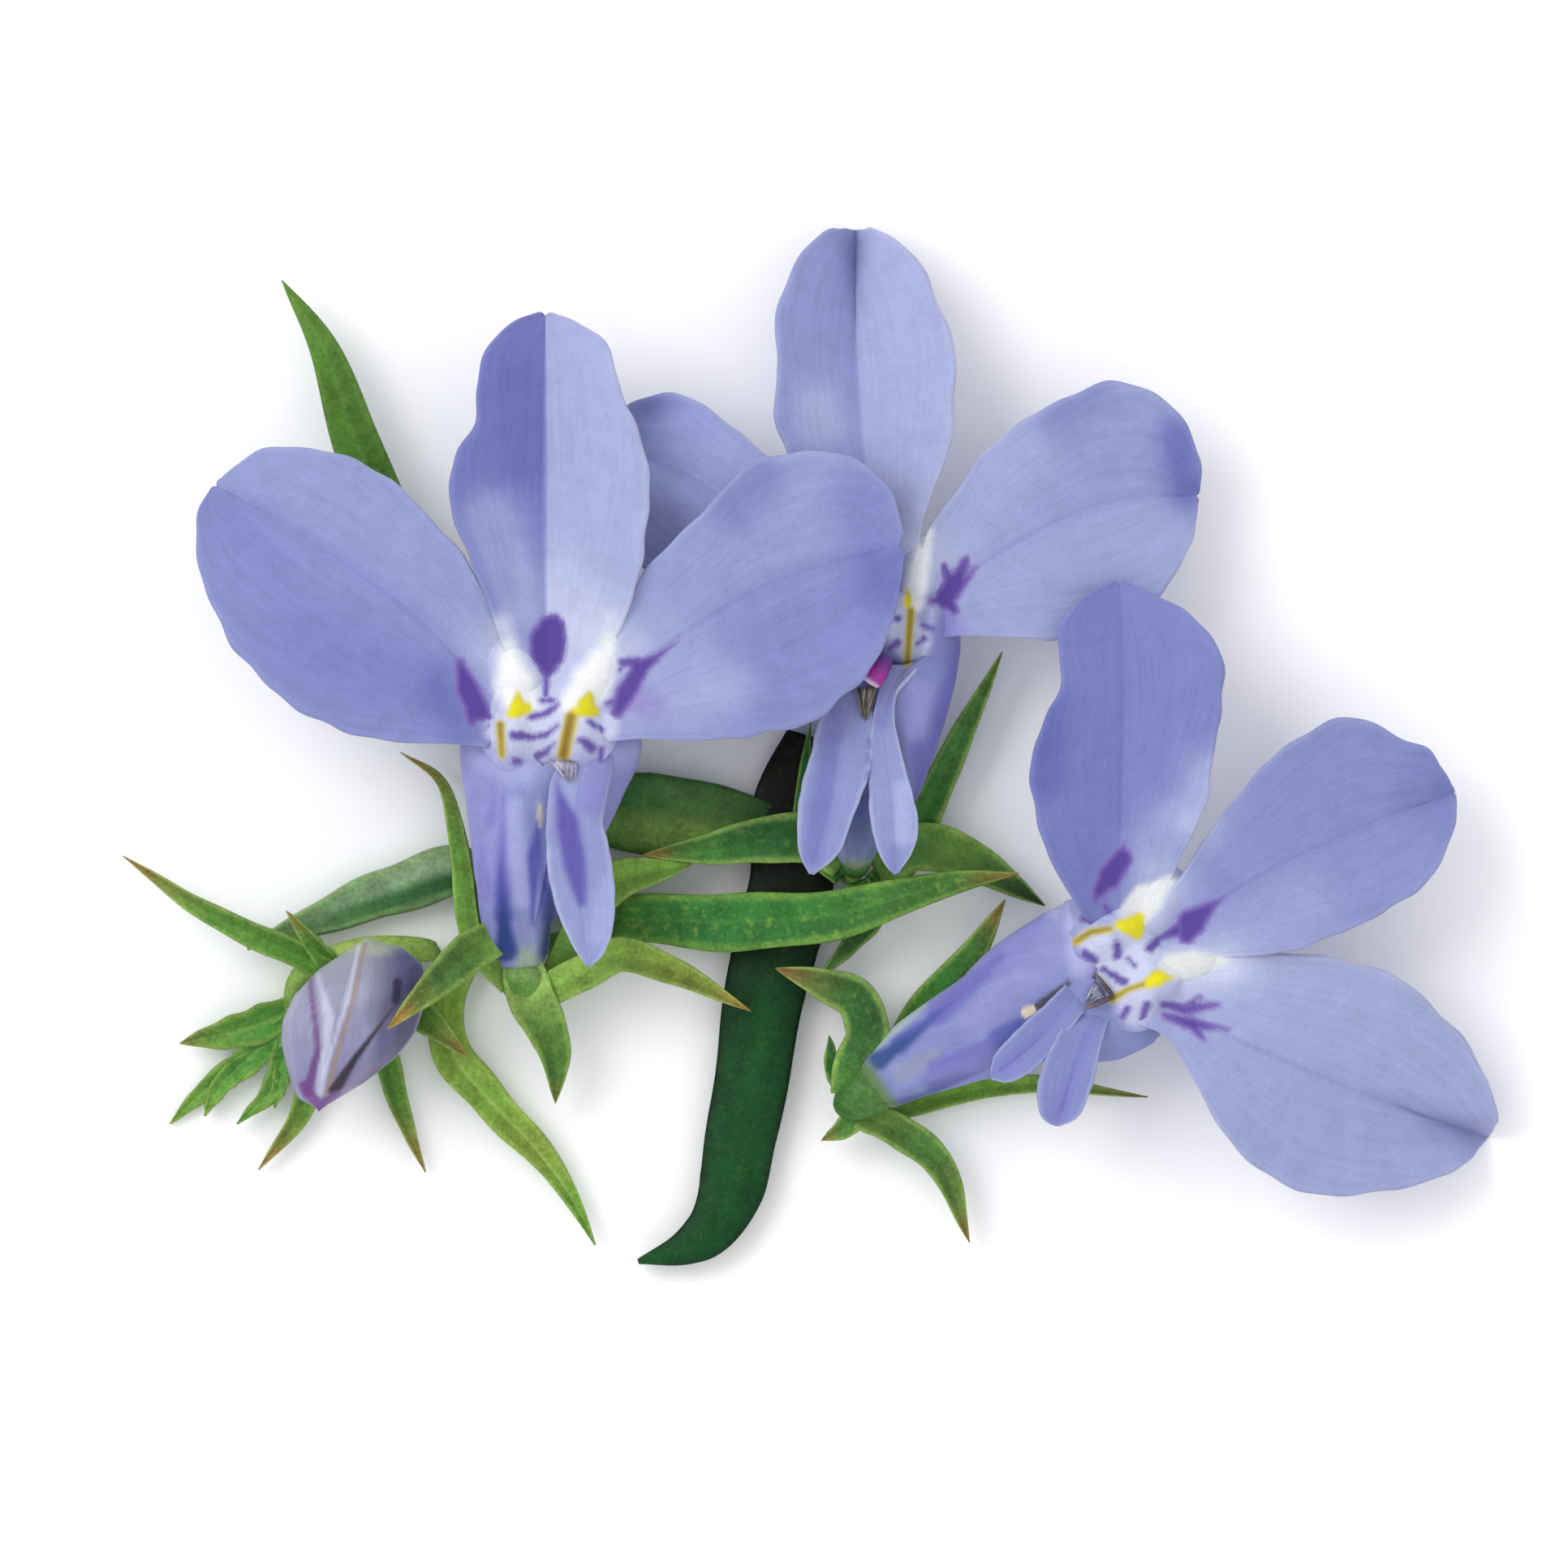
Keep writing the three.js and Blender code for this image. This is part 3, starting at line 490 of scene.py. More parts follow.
leaf_tuft = new_piece()
for path, width, tip in (
    ([(-18.8, -9.6, 0.6), (-20.6, -10.4, 0.65), (-23.3, -11, 0.9)], 1.4, "#7a6a3c"),
    ([(-19, -10, 0.6), (-20.9, -11.7, 0.6), (-22.4, -12.8, 0.35), (-23.7, -14, 0.2)], 1.1,
     "#6f9a3c"),
    ([(-20.7, -11.5, 0.6), (-21.8, -12.6, 0.65), (-22.4, -13.7, 0.7)], 0.8, "#6f9a3c"),
    ([(-19.1, -10, 0.6), (-19.9, -12.7, 0.65), (-21.2, -14, 0.7)], 0.9, "#4f8a38"),
    ([(-19.4, -11.6, 0.6), (-19.8, -13.4, 0.7)], 0.65, "#5a9138"),
):
    leaf(
        leaf_tuft, path, width, ["#4f8a38", "#4f8f3a", "#5d9440", "#6a9a3f", tip],
        edge="#8aa84e", rib="#7fae52",
    )
finish_piece(leaf_tuft, "leaf_tuft", calyx_skin, "bud_shoot", SEPAL_WALL)

# ---- The bud -------------------------------------------------------------------------------
# A closed flower bud, an egg of furled petals a shade greyer than the open ones. Five pleats run
# along it to a bluntly pointed end, where the folds gather in violet.


FAR = 9.0  # mm, farther than any stroke shows


def reach(places, strokes):
    """Distance in mm from each place to the nearest stroke: x, y, radius, x, y, radius. It is
    below 0 inside. A radius below 0 lets the stroke fade in from that end."""
    nearest = np.full(len(places), FAR)
    for ax, ay, first, bx, by, last in strokes:
        run = np.array([bx - ax, by - ay])
        t = np.clip((places - (ax, ay)) @ run / (run @ run), 0, 1)
        away = np.linalg.norm(places - (ax, ay) - t[:, None] * run, axis=1)
        nearest = np.minimum(nearest, away - first - t * (last - first))
    return nearest


def stained_and_shaded(colours, places, stains_light_and_shade):
    """Colours with soft strokes painted over: the thing's own stain marks, and painted shade and
    painted light as well. Each is a colour, its softness in mm, how far it covers from 0 to 1,
    and its strokes."""
    for colour, softness, strength, strokes in stains_light_and_shade:
        cover = strength * (1 - step(0, softness, reach(places, strokes)))
        colours = blend(colours, linear(colour), cover)
    return colours


bud_line = smooth_line([
    (-16.3, -7, 3.3), (-16.6, -8, 3.4), (-16.9, -10, 3.5), (-17.1, -11.6, 3.5), (-18.1, -13.5, 3.5),
])
BUD_RADII = [0, 1.55, 2.35, 2.66, 2.6, 2.35, 1.9, 1.2, 0]
BUD_FLATNESS = 0.68
# The bud's strokes. The first two and the one in #433e66, on its right side, are painted shade on
# the side turned from the window, and the near-black one in #1a0424 is painted shade along its
# deepest crease. Among the others are its green foot, its brown and violet lines and its violet
# tip.
BUD_STAINS_AND_SHADE = [
    ("#565280", 0.5, 1, [(-14.74, -8.4, 0.66, -15.46, -12.3, 0.42)]),
    ("#6a6880", 0.5, 0.7, [(-15.64, -8.04, 0.18, -15.88, -9.9, 0.24)]),
    ("#98a28a", 0.4, 0.75, [(-17.27, -7.2, 0.18, -15.76, -7.32, 0.18)]),
    ("#433e66", 0.35, 0.9,
     [(-14.5, -9, 0.18, -15.04, -11.4, 0.18), (-15.04, -11.4, 0.18, -16.66, -12.96, 0.09)]),
    ("#b2b7cc", 0.2, 0.85,
     [(-18.2, -8.1, -0.09, -17.68, -9.99, 0.09), (-17.68, -9.99, 0.09, -18.02, -12.78, 0.06)]),
    ("#5f3576", 0.12, 0.95,
     [(-18.43, -8.37, 0.03, -18.07, -11.13, 0.06), (-18.07, -11.13, 0.06, -18.5, -12.75, 0.12)]),
    ("#8a7670", 0.1, 0.9,
     [(-16.36, -7.29, 0.03, -16.81, -9.42, 0.03), (-16.81, -9.42, 0.03, -17.8, -12.87, 0.06)]),
    ("#c3c5d4", 0.1, 0.6,
     [(-16.61, -7.38, 0, -17.02, -9.42, 0.03), (-17.02, -9.42, 0.03, -17.93, -12.3, 0)]),
    ("#1a0424", 0.14, 1,
     [(-14.87, -9.06, -0.09, -16.72, -11.52, 0.06), (-16.72, -11.52, 0.06, -17.5, -12.72, 0.15)]),
    ("#241a48", 0.1, 0.95, [(-15.16, -8.7, 0.12, -15.2, -9.36, 0.12)]),
    ("#64267c", 0.2, 0.9,
     [(-18.64, -12.54, 0.09, -18.07, -13.32, 0.09),
      (-18.07, -13.32, 0.09, -17.45, -12.96, 0.12)]),
]


def bud_place(along, across):
    points = bud_line(along)
    angle = math.pi * across
    pleat = 1 + 0.04 * np.cos(5 * angle + 0.6) + 0.012 * np.cos(10 * angle + 0.4)
    ends = np.sqrt(np.clip(1 - (2 * along - 1) ** 8, 0, 1))
    radius = spread(BUD_RADII, along) * pleat * (0.2 + 0.8 * ends)
    points[:, 0] += radius * np.cos(angle)
    points[:, 1] += 0.25 * radius * np.cos(angle)
    points[:, 2] += BUD_FLATNESS * radius * np.sin(angle)
    return points


def bud_paint(along, across):
    places = bud_place(along, across)[:, :2]
    body = gradient(["#7f8680", "#84879a", "#8687a4", "#7f80a2", "#746f98", "#6a5a8a"], along)
    top = stained_and_shaded(body, places, BUD_STAINS_AND_SHADE)
    below = blend(body, linear("#6b4f86"), step(0.6, 1, np.cos(5 * math.pi * across + 3.7)))
    return blend(below, top, step(0, 0.15, np.sin(math.pi * across)))


def grained(name, gloss, pattern, tones, strength, depth):
    """A painted skin that a grain makes lighter, darker and uneven. pattern gives the inputs of
    the grain's noise, and tones its low and high values and the brightness at each of them."""
    skin, tree, shader, paint = painted_skin(name, gloss)
    grain = node(tree, "ShaderNodeTexNoise", pattern(tree))
    ends = dict(zip(("From Min", "From Max", "To Min", "To Max"), tones))
    tone = node(tree, "ShaderNodeMapRange", {0: grain.outputs[0], **ends})
    tint = node(
        tree, "ShaderNodeVectorMath", {0: paint, "Scale": tone.outputs[0]}, operation="SCALE"
    )
    dress(tree, shader, tint.outputs[0], grain.outputs[0], strength, depth)
    return skin


def along_folds(tree):
    """Streaks that run along the bud: 90 round it, 5 from end to end."""
    flat = node(tree, "ShaderNodeUVMap", uv_map="blade_map").outputs[0]
    stretch = node(tree, "ShaderNodeMapping", {"Vector": flat, "Scale": (90, 5, 1)})
    return {"Vector": stretch.outputs[0], "Scale": 1, "Detail": 3}


# Furled petal: a satiny skin, much finer than leaf, streaked along the folds.
furled_petal = grained("furled_petal", 0.45, along_folds, (0.25, 0.75, 0.86, 1.1), 0.4, 0.05)
furled_petal.node_tree.nodes["Principled BSDF"].inputs["Sheen Weight"].default_value = 0.15

bud = new_piece()
bud_skin = lay(bud, 110, 120, bud_place, bud_paint)
bmesh.ops.remove_doubles(bud, verts=bud_skin, dist=SEAM / 10)
finish_piece(bud, "bud", furled_petal, "bud_corolla")

# ---- The calyces ---------------------------------------------------------------------------
# Under each flower the green ovary, a small cup on its stalk, carries five narrow pointed sepals
# that spread behind the corolla. Most have browned at the very tip.


def calyx(name, cup, stalk, sepals, cup_colours):
    """A cup as (foot, mouth, radius), the path of its stalk, its sepals and the cup's colours."""
    foot, mouth, radius = cup
    ovary = new_piece()
    swelling = [0.55 * radius, 0.8 * radius, 0.95 * radius, radius]
    rod(ovary, [foot, mouth], swelling, stalk_paint(cup_colours), 40, 40, bluntness=3.5)
    rod(ovary, stalk, [0.35, 0.35], stalk_paint(["#6f9a44", "#7ba04a"]))
    finish_piece(ovary, f"{name}_ovary", calyx_skin, f"{name}_calyx")
    blades = new_piece()
    for sepal in sepals:
        leaf(blades, **{"edge": SEPAL_EDGE, "foot": 0.85, "widest": 0.25, "wave": 0.025, **sepal})
    finish_piece(blades, f"{name}_sepals", calyx_skin, f"{name}_calyx", SEPAL_WALL)


calyx(
    "left",
    ((-10.7, -9.6, 2.1), (-10.4, -7.9, 2.4), 0.95),
    [(-10.3, -9, 1.9), (-9.7, -8.8, 1.3), (-9.1, -8.4, 1.1)],
    [
        {"path": [(-11.1, -8.9, 1.8), (-12.4, -7.2, 2.1), (-12.9, -3.9, 2.2), (-13.6, -1.3, 1.8),
                  (-15.1, -0.2, 1.7)],
         "width": 0.85,
         "colours": ["#8fb45a", "#6f9f45", "#6a9a3c", "#5f9038", "#7c8a3c", "#a0683a"]},
        {"path": [(-11.1, -6.9, 2.6), (-12.2, -7.4, 3.6), (-13.8, -8.8, 5.1), (-15.5, -10.4, 5.7)],
         "width": 1.5, "foot": 0.7,
         "colours": ["#8fb05a", "#6a9440", "#4e7335", "#4e7335", "#6f7a38", "#c07a40"]},
        {"path": [(-10.6, -7.9, 2.5), (-10.35, -9, 2.7), (-9.4, -11.2, 2.3), (-9.35, -13.2, 1.4)],
         "width": 1.75, "foot": 0.75, "widest": 0.2,
         "colours": ["#a4be6c", "#8cac56", "#648c40", "#4f7833", "#466f30", "#7a7038"]},
        {"path": [(-10, -9.2, 2.3), (-8.4, -8.4, 2.9), (-7, -7.7, 3.1), (-5, -8.3, 2.8),
                  (-2.1, -9.8, 2.3)],
         "width": 1.35,
         "colours": ["#7fa84a", "#86ad4a", "#7fa545", "#728435", "#7a8a3a", "#a0683a"]},
        {"path": [(-9.8, -9.2, 1.7), (-8.7, -7.3, 2.1), (-7.4, -5.15, 2.25), (-4.3, -4.35, 1.75)],
         "width": 1.55, "foot": 0.5, "widest": 0.55,
         "colours": ["#6f9a44", "#6f9f45", "#7fa845", "#6f9a3c", "#6f9a3c"]},
    ],
    ["#4f7a34", "#5f8a3e", "#7f9f60"],
)

calyx(
    "back",
    ((1.65, -4.85, 1.9), (1.8, -4.1, 2.1), 0.62),
    [(1.7, -4.7, 1.8), (1.6, -4.8, 1.2), (1.5, -4.8, 0.7)],
    [
        {"path": [(1.4, -4.2, 2), (0.5, -3.5, 2.1), (-1.4, -3.42, 2.15), (-3.7, -3.78, 2.15),
                  (-6.15, -4.02, 2.05)],
         "width": 1.9, "widest": 0.15,
         "colours": ["#5f8a3a", "#3f7030", "#2a5e2c", "#2f6a2f", "#3f7a34", "#4f7a34",
                     "#a0683a"]},
        {"path": [(1.2, -4.9, 1.8), (-0.1, -3.5, 1.75), (-0.1, -0.8, 1.75), (0.1, 0.9, 1.9)],
         "width": 0.7, "colours": ["#2f6a2f", "#2f7a34"]},
        {"path": [(2.5, -5.2, 1.4), (3.6, -4.2, 1.05), (4.4, -2.4, 1.25), (5.6, 0.2, 1.8),
                  (7.2, 3.5, 2.2)],
         "width": 1.25,
         "colours": ["#3f7a34", "#3c7a34", "#3f7a34", "#47803a", "#3f6f2c", "#5f6a2c"]},
        {"path": [(2.5, -4.6, 1.5), (4, -3.7, 1.35), (5.7, -4.05, 1.4), (7.4, -5, 1.3),
                  (8.8, -5.9, 1.2)],
         "width": 1.8, "shadow": 0.1,
         "colours": ["#6a943e", "#5a8c3e", "#628c3e", "#4f7834", "#2f4a22", "#1f3a20"]},
        {"path": [(1.9, -5, 1.7), (2.4, -6.2, 1.35), (1.6, -7.3, 1.4), (0.4, -8.6, 1.5)],
         "width": 0.9, "colours": ["#3f7a34", "#3f7034", "#2f5a2c", "#3f6f34", "#5f7a3c"]},
    ],
    ["#2f5a2a", "#3f6f34", "#5f8450"],
)

calyx(
    "right",
    ((1, -13.5, 2), (2.95, -12.4, 2.25), 1),
    [(2, -13, 1.8), (2.1, -12.4, 1.2), (2.2, -11.7, 0.95)],
    [
        {"path": [(1.5, -12.9, 2.2), (1.7, -11.8, 2.5), (2.2, -10.6, 2.7), (1.8, -9.4, 2.6),
                  (0.6, -8.8, 2.6), (-1.2, -8.2, 2.3)],
         "width": 1.6, "widest": 0.45, "wave": 0.02,
         "colours": ["#5f9040", "#3f7034", "#2c5c2a", "#3a6a30", "#5f6a34", "#8a5a35"]},
        {"path": [(1.9, -13, 1.7), (1, -12.1, 1.5), (0.8, -10.7, 1.6)], "width": 0.75,
         "colours": ["#3f7034", "#2f6a30", "#3f7a38"]},
        {"path": [(2, -13.2, 1.9), (1.4, -14.1, 1.6), (0.5, -14.6, 1.4)], "width": 0.95,
         "colours": ["#4f7f3c", "#4a7c38", "#557a38", "#8a6a3c"]},
        {"path": [(1.9, -13.6, 1.8), (3.3, -14.2, 1.8), (4.9, -15.5, 1.6), (6, -18.4, 0.9)],
         "width": 1.25,
         "colours": ["#6a9040", "#527335", "#4f7f3c", "#527335", "#5f7a38", "#8a5a35"]},
        {"path": [(1.9, -13.4, 1.1), (3.5, -13.4, 0.65), (5.3, -12.9, 0.65), (8.3, -12.5, 0.8),
                  (12.6, -13, 1.2)],
         "width": 0.85,
         "colours": ["#5f8f3a", "#74a03f", "#74a83c", "#7fae45", "#6f8a3c", "#8a6a3c"]},
        {"path": [(1.9, -13.1, 1.1), (3.4, -11.3, 0.6), (4.6, -9.5, 0.9), (5.9, -8, 1.5),
                  (7.3, -5.7, 2.1)],
         "width": 1.45, "widest": 0.45,
         "colours": ["#4f8038", "#4f8534", "#4a8a38", "#3f8038", "#4f8038", "#8a5a35"]},
    ],
    ["#3c6a2e", "#437236", "#56783f"],
)

# ---- The petals ----------------------------------------------------------------------------
# Each flower is one fused corolla with two lips. The lower lip is three broad creased lobes round
# a two-humped palate; the rest is a tube, split along its upper side between two narrow lobes.

# Petal: a thin velvety skin of domed cells over fine veins that fan out from the throat. Violet
# blotches guide the bee in, with feathered edges, and two yellow spots end in ochre bars.
petal_skin, tree, shader, paint = painted_skin("lobelia_petal", 0.6)
VEIN_SPACING = 0.22  # mm between the fine veins where a lobe is 10 mm wide
CELL = 0.12  # mm; the domed cells are under 0.05 mm, and would not show
petal_map = node(tree, "ShaderNodeUVMap", uv_map="blade_map").outputs[0]
split = node(tree, "ShaderNodeSeparateXYZ", {0: petal_map})
place = node(tree, "ShaderNodeTexCoord").outputs["Object"]
aside = node(tree, "ShaderNodeMath", {0: split.outputs["X"], 1: 0.5}, operation="SUBTRACT")
squared = node(tree, "ShaderNodeMath", {0: split.outputs["Y"], 1: 2}, operation="POWER")
opening = node(
    tree, "ShaderNodeMath", {0: squared.outputs[0], 1: 1.1, 2: 1}, operation="MULTIPLY_ADD"
)
fan = node(
    tree, "ShaderNodeMath", {0: aside.outputs[0], 1: opening.outputs[0]}, operation="DIVIDE"
)
fan_place = node(tree, "ShaderNodeCombineXYZ", {"X": fan.outputs[0], "Y": split.outputs["Y"]})
vein_place = node(
    tree, "ShaderNodeMapping",
    {"Vector": fan_place.outputs[0], "Scale": (10 / VEIN_SPACING, 2.2, 1)},
)
veins = node(
    tree, "ShaderNodeTexNoise",
    {"Vector": vein_place.outputs[0], "Scale": 1, "Detail": 4, "Roughness": 0.62},
)
vein_shade = node(
    tree, "ShaderNodeMapRange",
    {0: veins.outputs[0], "From Min": 0.25, "From Max": 0.75, "To Min": 0.83, "To Max": 0.96},
)
cell_dots = node(
    tree, "ShaderNodeTexNoise", {"Vector": place, "Scale": 1 / (CELL * MM), "Detail": 1}
)
cell_shade = node(
    tree, "ShaderNodeMapRange",
    {0: cell_dots.outputs[0], "From Min": 0.3, "From Max": 0.7, "To Min": 0.965, "To Max": 1.035},
)
# The skin is a little uneven in depth where it dried or was pressed.
clouding = node(
    tree, "ShaderNodeTexNoise",
    {"Vector": place, "Scale": 1 / (0.9 * MM), "Detail": 4, "Roughness": 0.65},
)
cloud_shade = node(
    tree, "ShaderNodeMapRange",
    {0: clouding.outputs[0], "From Min": 0.3, "From Max": 0.7, "To Min": 0.93, "To Max": 1.06},
)
cell_clouds = node(
    tree, "ShaderNodeMath", {0: cloud_shade.outputs[0], 1: cell_shade.outputs[0]},
    operation="MULTIPLY",
)
fine_shade = node(
    tree, "ShaderNodeMath", {0: vein_shade.outputs[0], 1: cell_clouds.outputs[0]},
    operation="MULTIPLY",
)
veined = node(
    tree, "ShaderNodeVectorMath", {0: paint, "Scale": fine_shade.outputs[0]}, operation="SCALE"
)
# The marks have ragged rims, which follow the veins, and their depth of colour is uneven.
feather = node(
    tree, "ShaderNodeTexNoise",
    {"Vector": place, "Scale": 1 / (0.3 * MM), "Detail": 3, "Roughness": 0.65},
)
half_veins = node(tree, "ShaderNodeMath", {0: veins.outputs[0], 1: 0.5}, operation="MULTIPLY")
ragged = node(
    tree, "ShaderNodeMath", {0: feather.outputs[0], 1: 0.5, 2: half_veins.outputs[0]},
    operation="MULTIPLY_ADD",
)
uneven = node(
    tree, "ShaderNodeMath", {0: feather.outputs[0], 1: 0.5, 2: -0.25}, operation="MULTIPLY_ADD"
)
MARKS = (  # name, colour in the middle and at the rim, raggedness and width of the rim in mm
    ("violet_reach", "#4f3a8c", "#7767aa", 0.45, 0.24),
    ("yellow_reach", "#dcd410", "#ccc020", 0.03, 0.2),
    ("ochre_reach", "#846826", "#bcae3c", 0.1, 0.22),
)
RIM_BLUR = 0.09  # mm that a mark's rim fades over, to either side
marked = veined.outputs[0]
for mark, colour, pale, raggedness, rim_width in MARKS:
    away = node(tree, "ShaderNodeAttribute", attribute_name=mark).outputs["Fac"]
    wavering = node(
        tree, "ShaderNodeMath", {0: ragged.outputs[0], 1: -raggedness, 2: away},
        operation="MULTIPLY_ADD",
    )
    rim = -0.5 * raggedness
    cover = node(
        tree, "ShaderNodeMapRange",
        {0: wavering.outputs[0], "From Min": rim - RIM_BLUR, "From Max": rim + RIM_BLUR,
         "To Min": 1, "To Max": 0},
    )
    depth = node(
        tree, "ShaderNodeMath", {0: uneven.outputs[0], 1: rim_width, 2: away},
        operation="MULTIPLY_ADD",
    )
    toward_rim = node(
        tree, "ShaderNodeMapRange", {0: depth.outputs[0], "From Min": -rim_width, "From Max": 0}
    )
    tint = node(
        tree, "ShaderNodeMix",
        {"Factor": toward_rim.outputs[0], 6: (*linear(colour), 1), 7: (*linear(pale), 1)},
        data_type="RGBA",
    )
    covered = node(
        tree, "ShaderNodeMix", {"Factor": cover.outputs[0], 6: marked, 7: tint.outputs[2]},
        data_type="RGBA",
    )
    marked = covered.outputs[2]
dress(tree, shader, marked, veins.outputs[0], 0.3, 0.05)
shader.inputs["Specular IOR Level"].default_value = 0.25
shader.inputs["Sheen Weight"].default_value = 0.1

PETAL_TONES = ["#494b8c", "#646bad", "#8289bf", "#a1a8d0", "#c0c7e3"]  # shadowed to pale
PETAL_WALL = 0.18
LOBE_REACH = 0.985  # a lobe stops this far along its outlines, so that its tip is blunt


def toned(places, tone, shades):
    """Petal colours of an even tone, with soft strokes that are darker or paler by an amount.
    These strokes are painted shade and painted light where the petal turns from or toward the
    light, together with its own paler and darker parts.
    """
    tone = np.broadcast_to(tone, len(places)).copy()
    for *stroke, softness, amount in shades:
        tone += amount * np.exp(-((np.maximum(reach(places, [stroke]), 0) / softness) ** 2))
    return gradient(PETAL_TONES, np.clip(tone, 0, 1))


def lobe(piece, flower, left, middle, right, crease=0.5, ruffle=0.12, waves=5, tones=(0.5, 0.5),
         soft=0.05, rib=-0.08, rim=0.12, rim_from=0.93, sinks=(0, 0), frill=0.008, rows=96,
         columns=44, stains_light_and_shade=None):
    """Adds a lobe. Its outlines and its middle run from foot to tip, in mm from the throat. Near
    the foot its left and right edges sink by the two depths given. tones are those of its left
    and right halves; where they differ, the darker half is painted shade, turned from the light
    across the crease."""
    throat = np.array(flower["throat"])
    edges = smooth_line([*left, middle[-1]]), smooth_line([*right, middle[-1]])
    spine = smooth_line(middle)

    def place(along, across):
        t = LOBE_REACH * along
        part = np.abs(across)
        points = spine(t)
        edge = np.where(across[:, None] < 0, edges[0](t), edges[1](t))
        nibbles = np.sin(37 * along + 2 * across) + np.sin(61 * along + 5 * across + 1)
        reach_aside = part * (1 + frill * nibbles * part**4 * step(0.1, 0.3, along))
        points[:, :2] += (edge - points)[:, :2] * reach_aside[:, None]
        points[:, 2] += crease * part * (1 - t * t) * np.minimum(1, 4 * t)
        points[:, 2] += ruffle * part**2 * np.sin(waves * math.pi * along + 1.5 * (across + 1))
        points[:, 2] -= np.where(across < 0, *sinks) * part**3 * (1 - t) ** 2
        return points + throat

    def paint(along, across):
        places = (place(along, across) - throat)[:, :2]
        tone = tones[0] + (tones[1] - tones[0]) * step(-soft, soft, across)
        tone = tone + rim * step(rim_from, 1, np.abs(across))
        tone = tone + rib * np.exp(-((across / 0.03) ** 2))
        shaded = toned(places, tone, flower["shades"])
        return stained_and_shaded(shaded, places, stains_light_and_shade or flower["stains_light_and_shade"])

    lay(piece, rows, columns, place, paint)


def ridge(piece, flower, crest, half=1.05, drop=0.75):
    """Adds the rounded fold where two lobes meet. Its border sinks into both of them."""
    throat = np.array(flower["throat"])
    line = smooth_line(crest)

    def place(along, across):
        points = line(along)
        ahead = headings(line, along)
        reach_aside = across * half * np.sqrt(1 - 0.98 * (2 * along - 1) ** 4)
        points[:, 0] += reach_aside * ahead[:, 1]
        points[:, 1] -= reach_aside * ahead[:, 0]
        points[:, 2] -= drop * (across**2 + np.abs(2 * along - 1) ** 3)
        return points + throat

    def paint(along, across):
        places = (place(along, across) - throat)[:, :2]
        return stained_and_shaded(toned(places, 0.6, flower["shades"]), places, flower["stains_light_and_shade"])

    lay(piece, 40, 24, place, paint)


HUMPS = (1.1, -1.3)  # mm from the middle of the palate
HUMP_SIZE = 0.5  # mm, half its width and its height


def palate(piece, flower, turn, half, from_y, to_y, tone=0.72):
    """Adds the two-humped floor of the throat, its border tucked under the lobes."""
    throat = np.array(flower["throat"])
    cos, sin = math.cos(math.radians(turn)), math.sin(math.radians(turn))

    def place(along, across):
        y = from_y + (to_y - from_y) * along
        x = across * half * (0.78 + 0.22 * np.sin(math.pi * along))
        x = x * (1 - 0.5 * step(0.55, 1, along) ** 2)
        humps = sum(np.exp(-(((x - hump) / HUMP_SIZE) ** 2)) for hump in HUMPS)
        z = HUMP_SIZE * humps * np.sin(math.pi * along) - 4 * np.maximum(0, along - 0.5) ** 1.5
        z = z - 0.75 * step(0.55, 1, np.abs(across)) * step(0.85, 0.5, along)
        z = z - 0.9 * step(0.4, 0, along)
        return np.stack([x * cos - y * sin, x * sin + y * cos, z], -1) + throat

    def paint(along, across):
        places = (place(along, across) - throat)[:, :2]
        # The palate darkens towards its far end, where it plunges into the tube: painted shade.
        tones = tone - 0.2 * step(0.66, 0.85, along)
        return stained_and_shaded(toned(places, tones, flower["shades"]), places, flower["stains_light_and_shade"])

    lay(piece, 100, 90, place, paint)


FLUTES = 7
FLUTE_DEPTH = 0.035  # of the tube's radius


def tube(piece, flower, stations, tones):
    """Adds the split tube: at each station x, y, z, half its width, half its height and half the
    angle of the split, in degrees."""
    throat = np.array(flower["throat"])
    spine = smooth_line([station[:3] for station in stations])
    table = np.array(stations, float)
    runs = np.linalg.norm(np.diff(table[:, :3], axis=0), axis=1)
    marks = np.concatenate([[0], np.cumsum(runs)]) / runs.sum()

    def around(along, across):
        gap = np.radians(np.interp(along, marks, table[:, 5]))
        return math.pi / 2 + gap + (across + 1) * (math.pi - gap)

    def place(along, across):
        points = spine(along)
        ahead = headings(spine, along)
        ahead /= np.hypot(ahead[:, 0], ahead[:, 1])[:, None]
        angle = around(along, across)
        flute = 1 + FLUTE_DEPTH * np.cos(FLUTES * angle)
        reach_aside = np.interp(along, marks, table[:, 3]) * np.cos(angle) * flute
        points[:, 0] += ahead[:, 1] * reach_aside
        points[:, 1] -= ahead[:, 0] * reach_aside
        points[:, 2] += np.interp(along, marks, table[:, 4]) * np.sin(angle) * flute
        return points + throat

    def paint(along, across):
        places = (place(along, across) - throat)[:, :2]
        plain = toned(places, spread(tones, along), flower["shades"])
        above = step(-0.25, 0.25, np.sin(around(along, across)))
        return blend(plain, stained_and_shaded(plain, places, flower["tube_stains_and_shade"]), above)

    skin = lay(piece, 120, 120, place, paint)
    bmesh.ops.remove_doubles(piece, verts=skin, dist=SEAM)


def keep_marks(piece, flower):
    """Keeps at each point how far it lies from the violet, yellow and ochre marks."""
    x, y, _ = flower["throat"]
    places = np.array([(corner.co.x / MM - x, corner.co.y / MM - y) for corner in piece.verts])
    for name, *_ in MARKS:
        layer = piece.verts.layers.float.new(name)
        for corner, away in zip(piece.verts, reach(places, flower[name])):
            corner[layer] = away


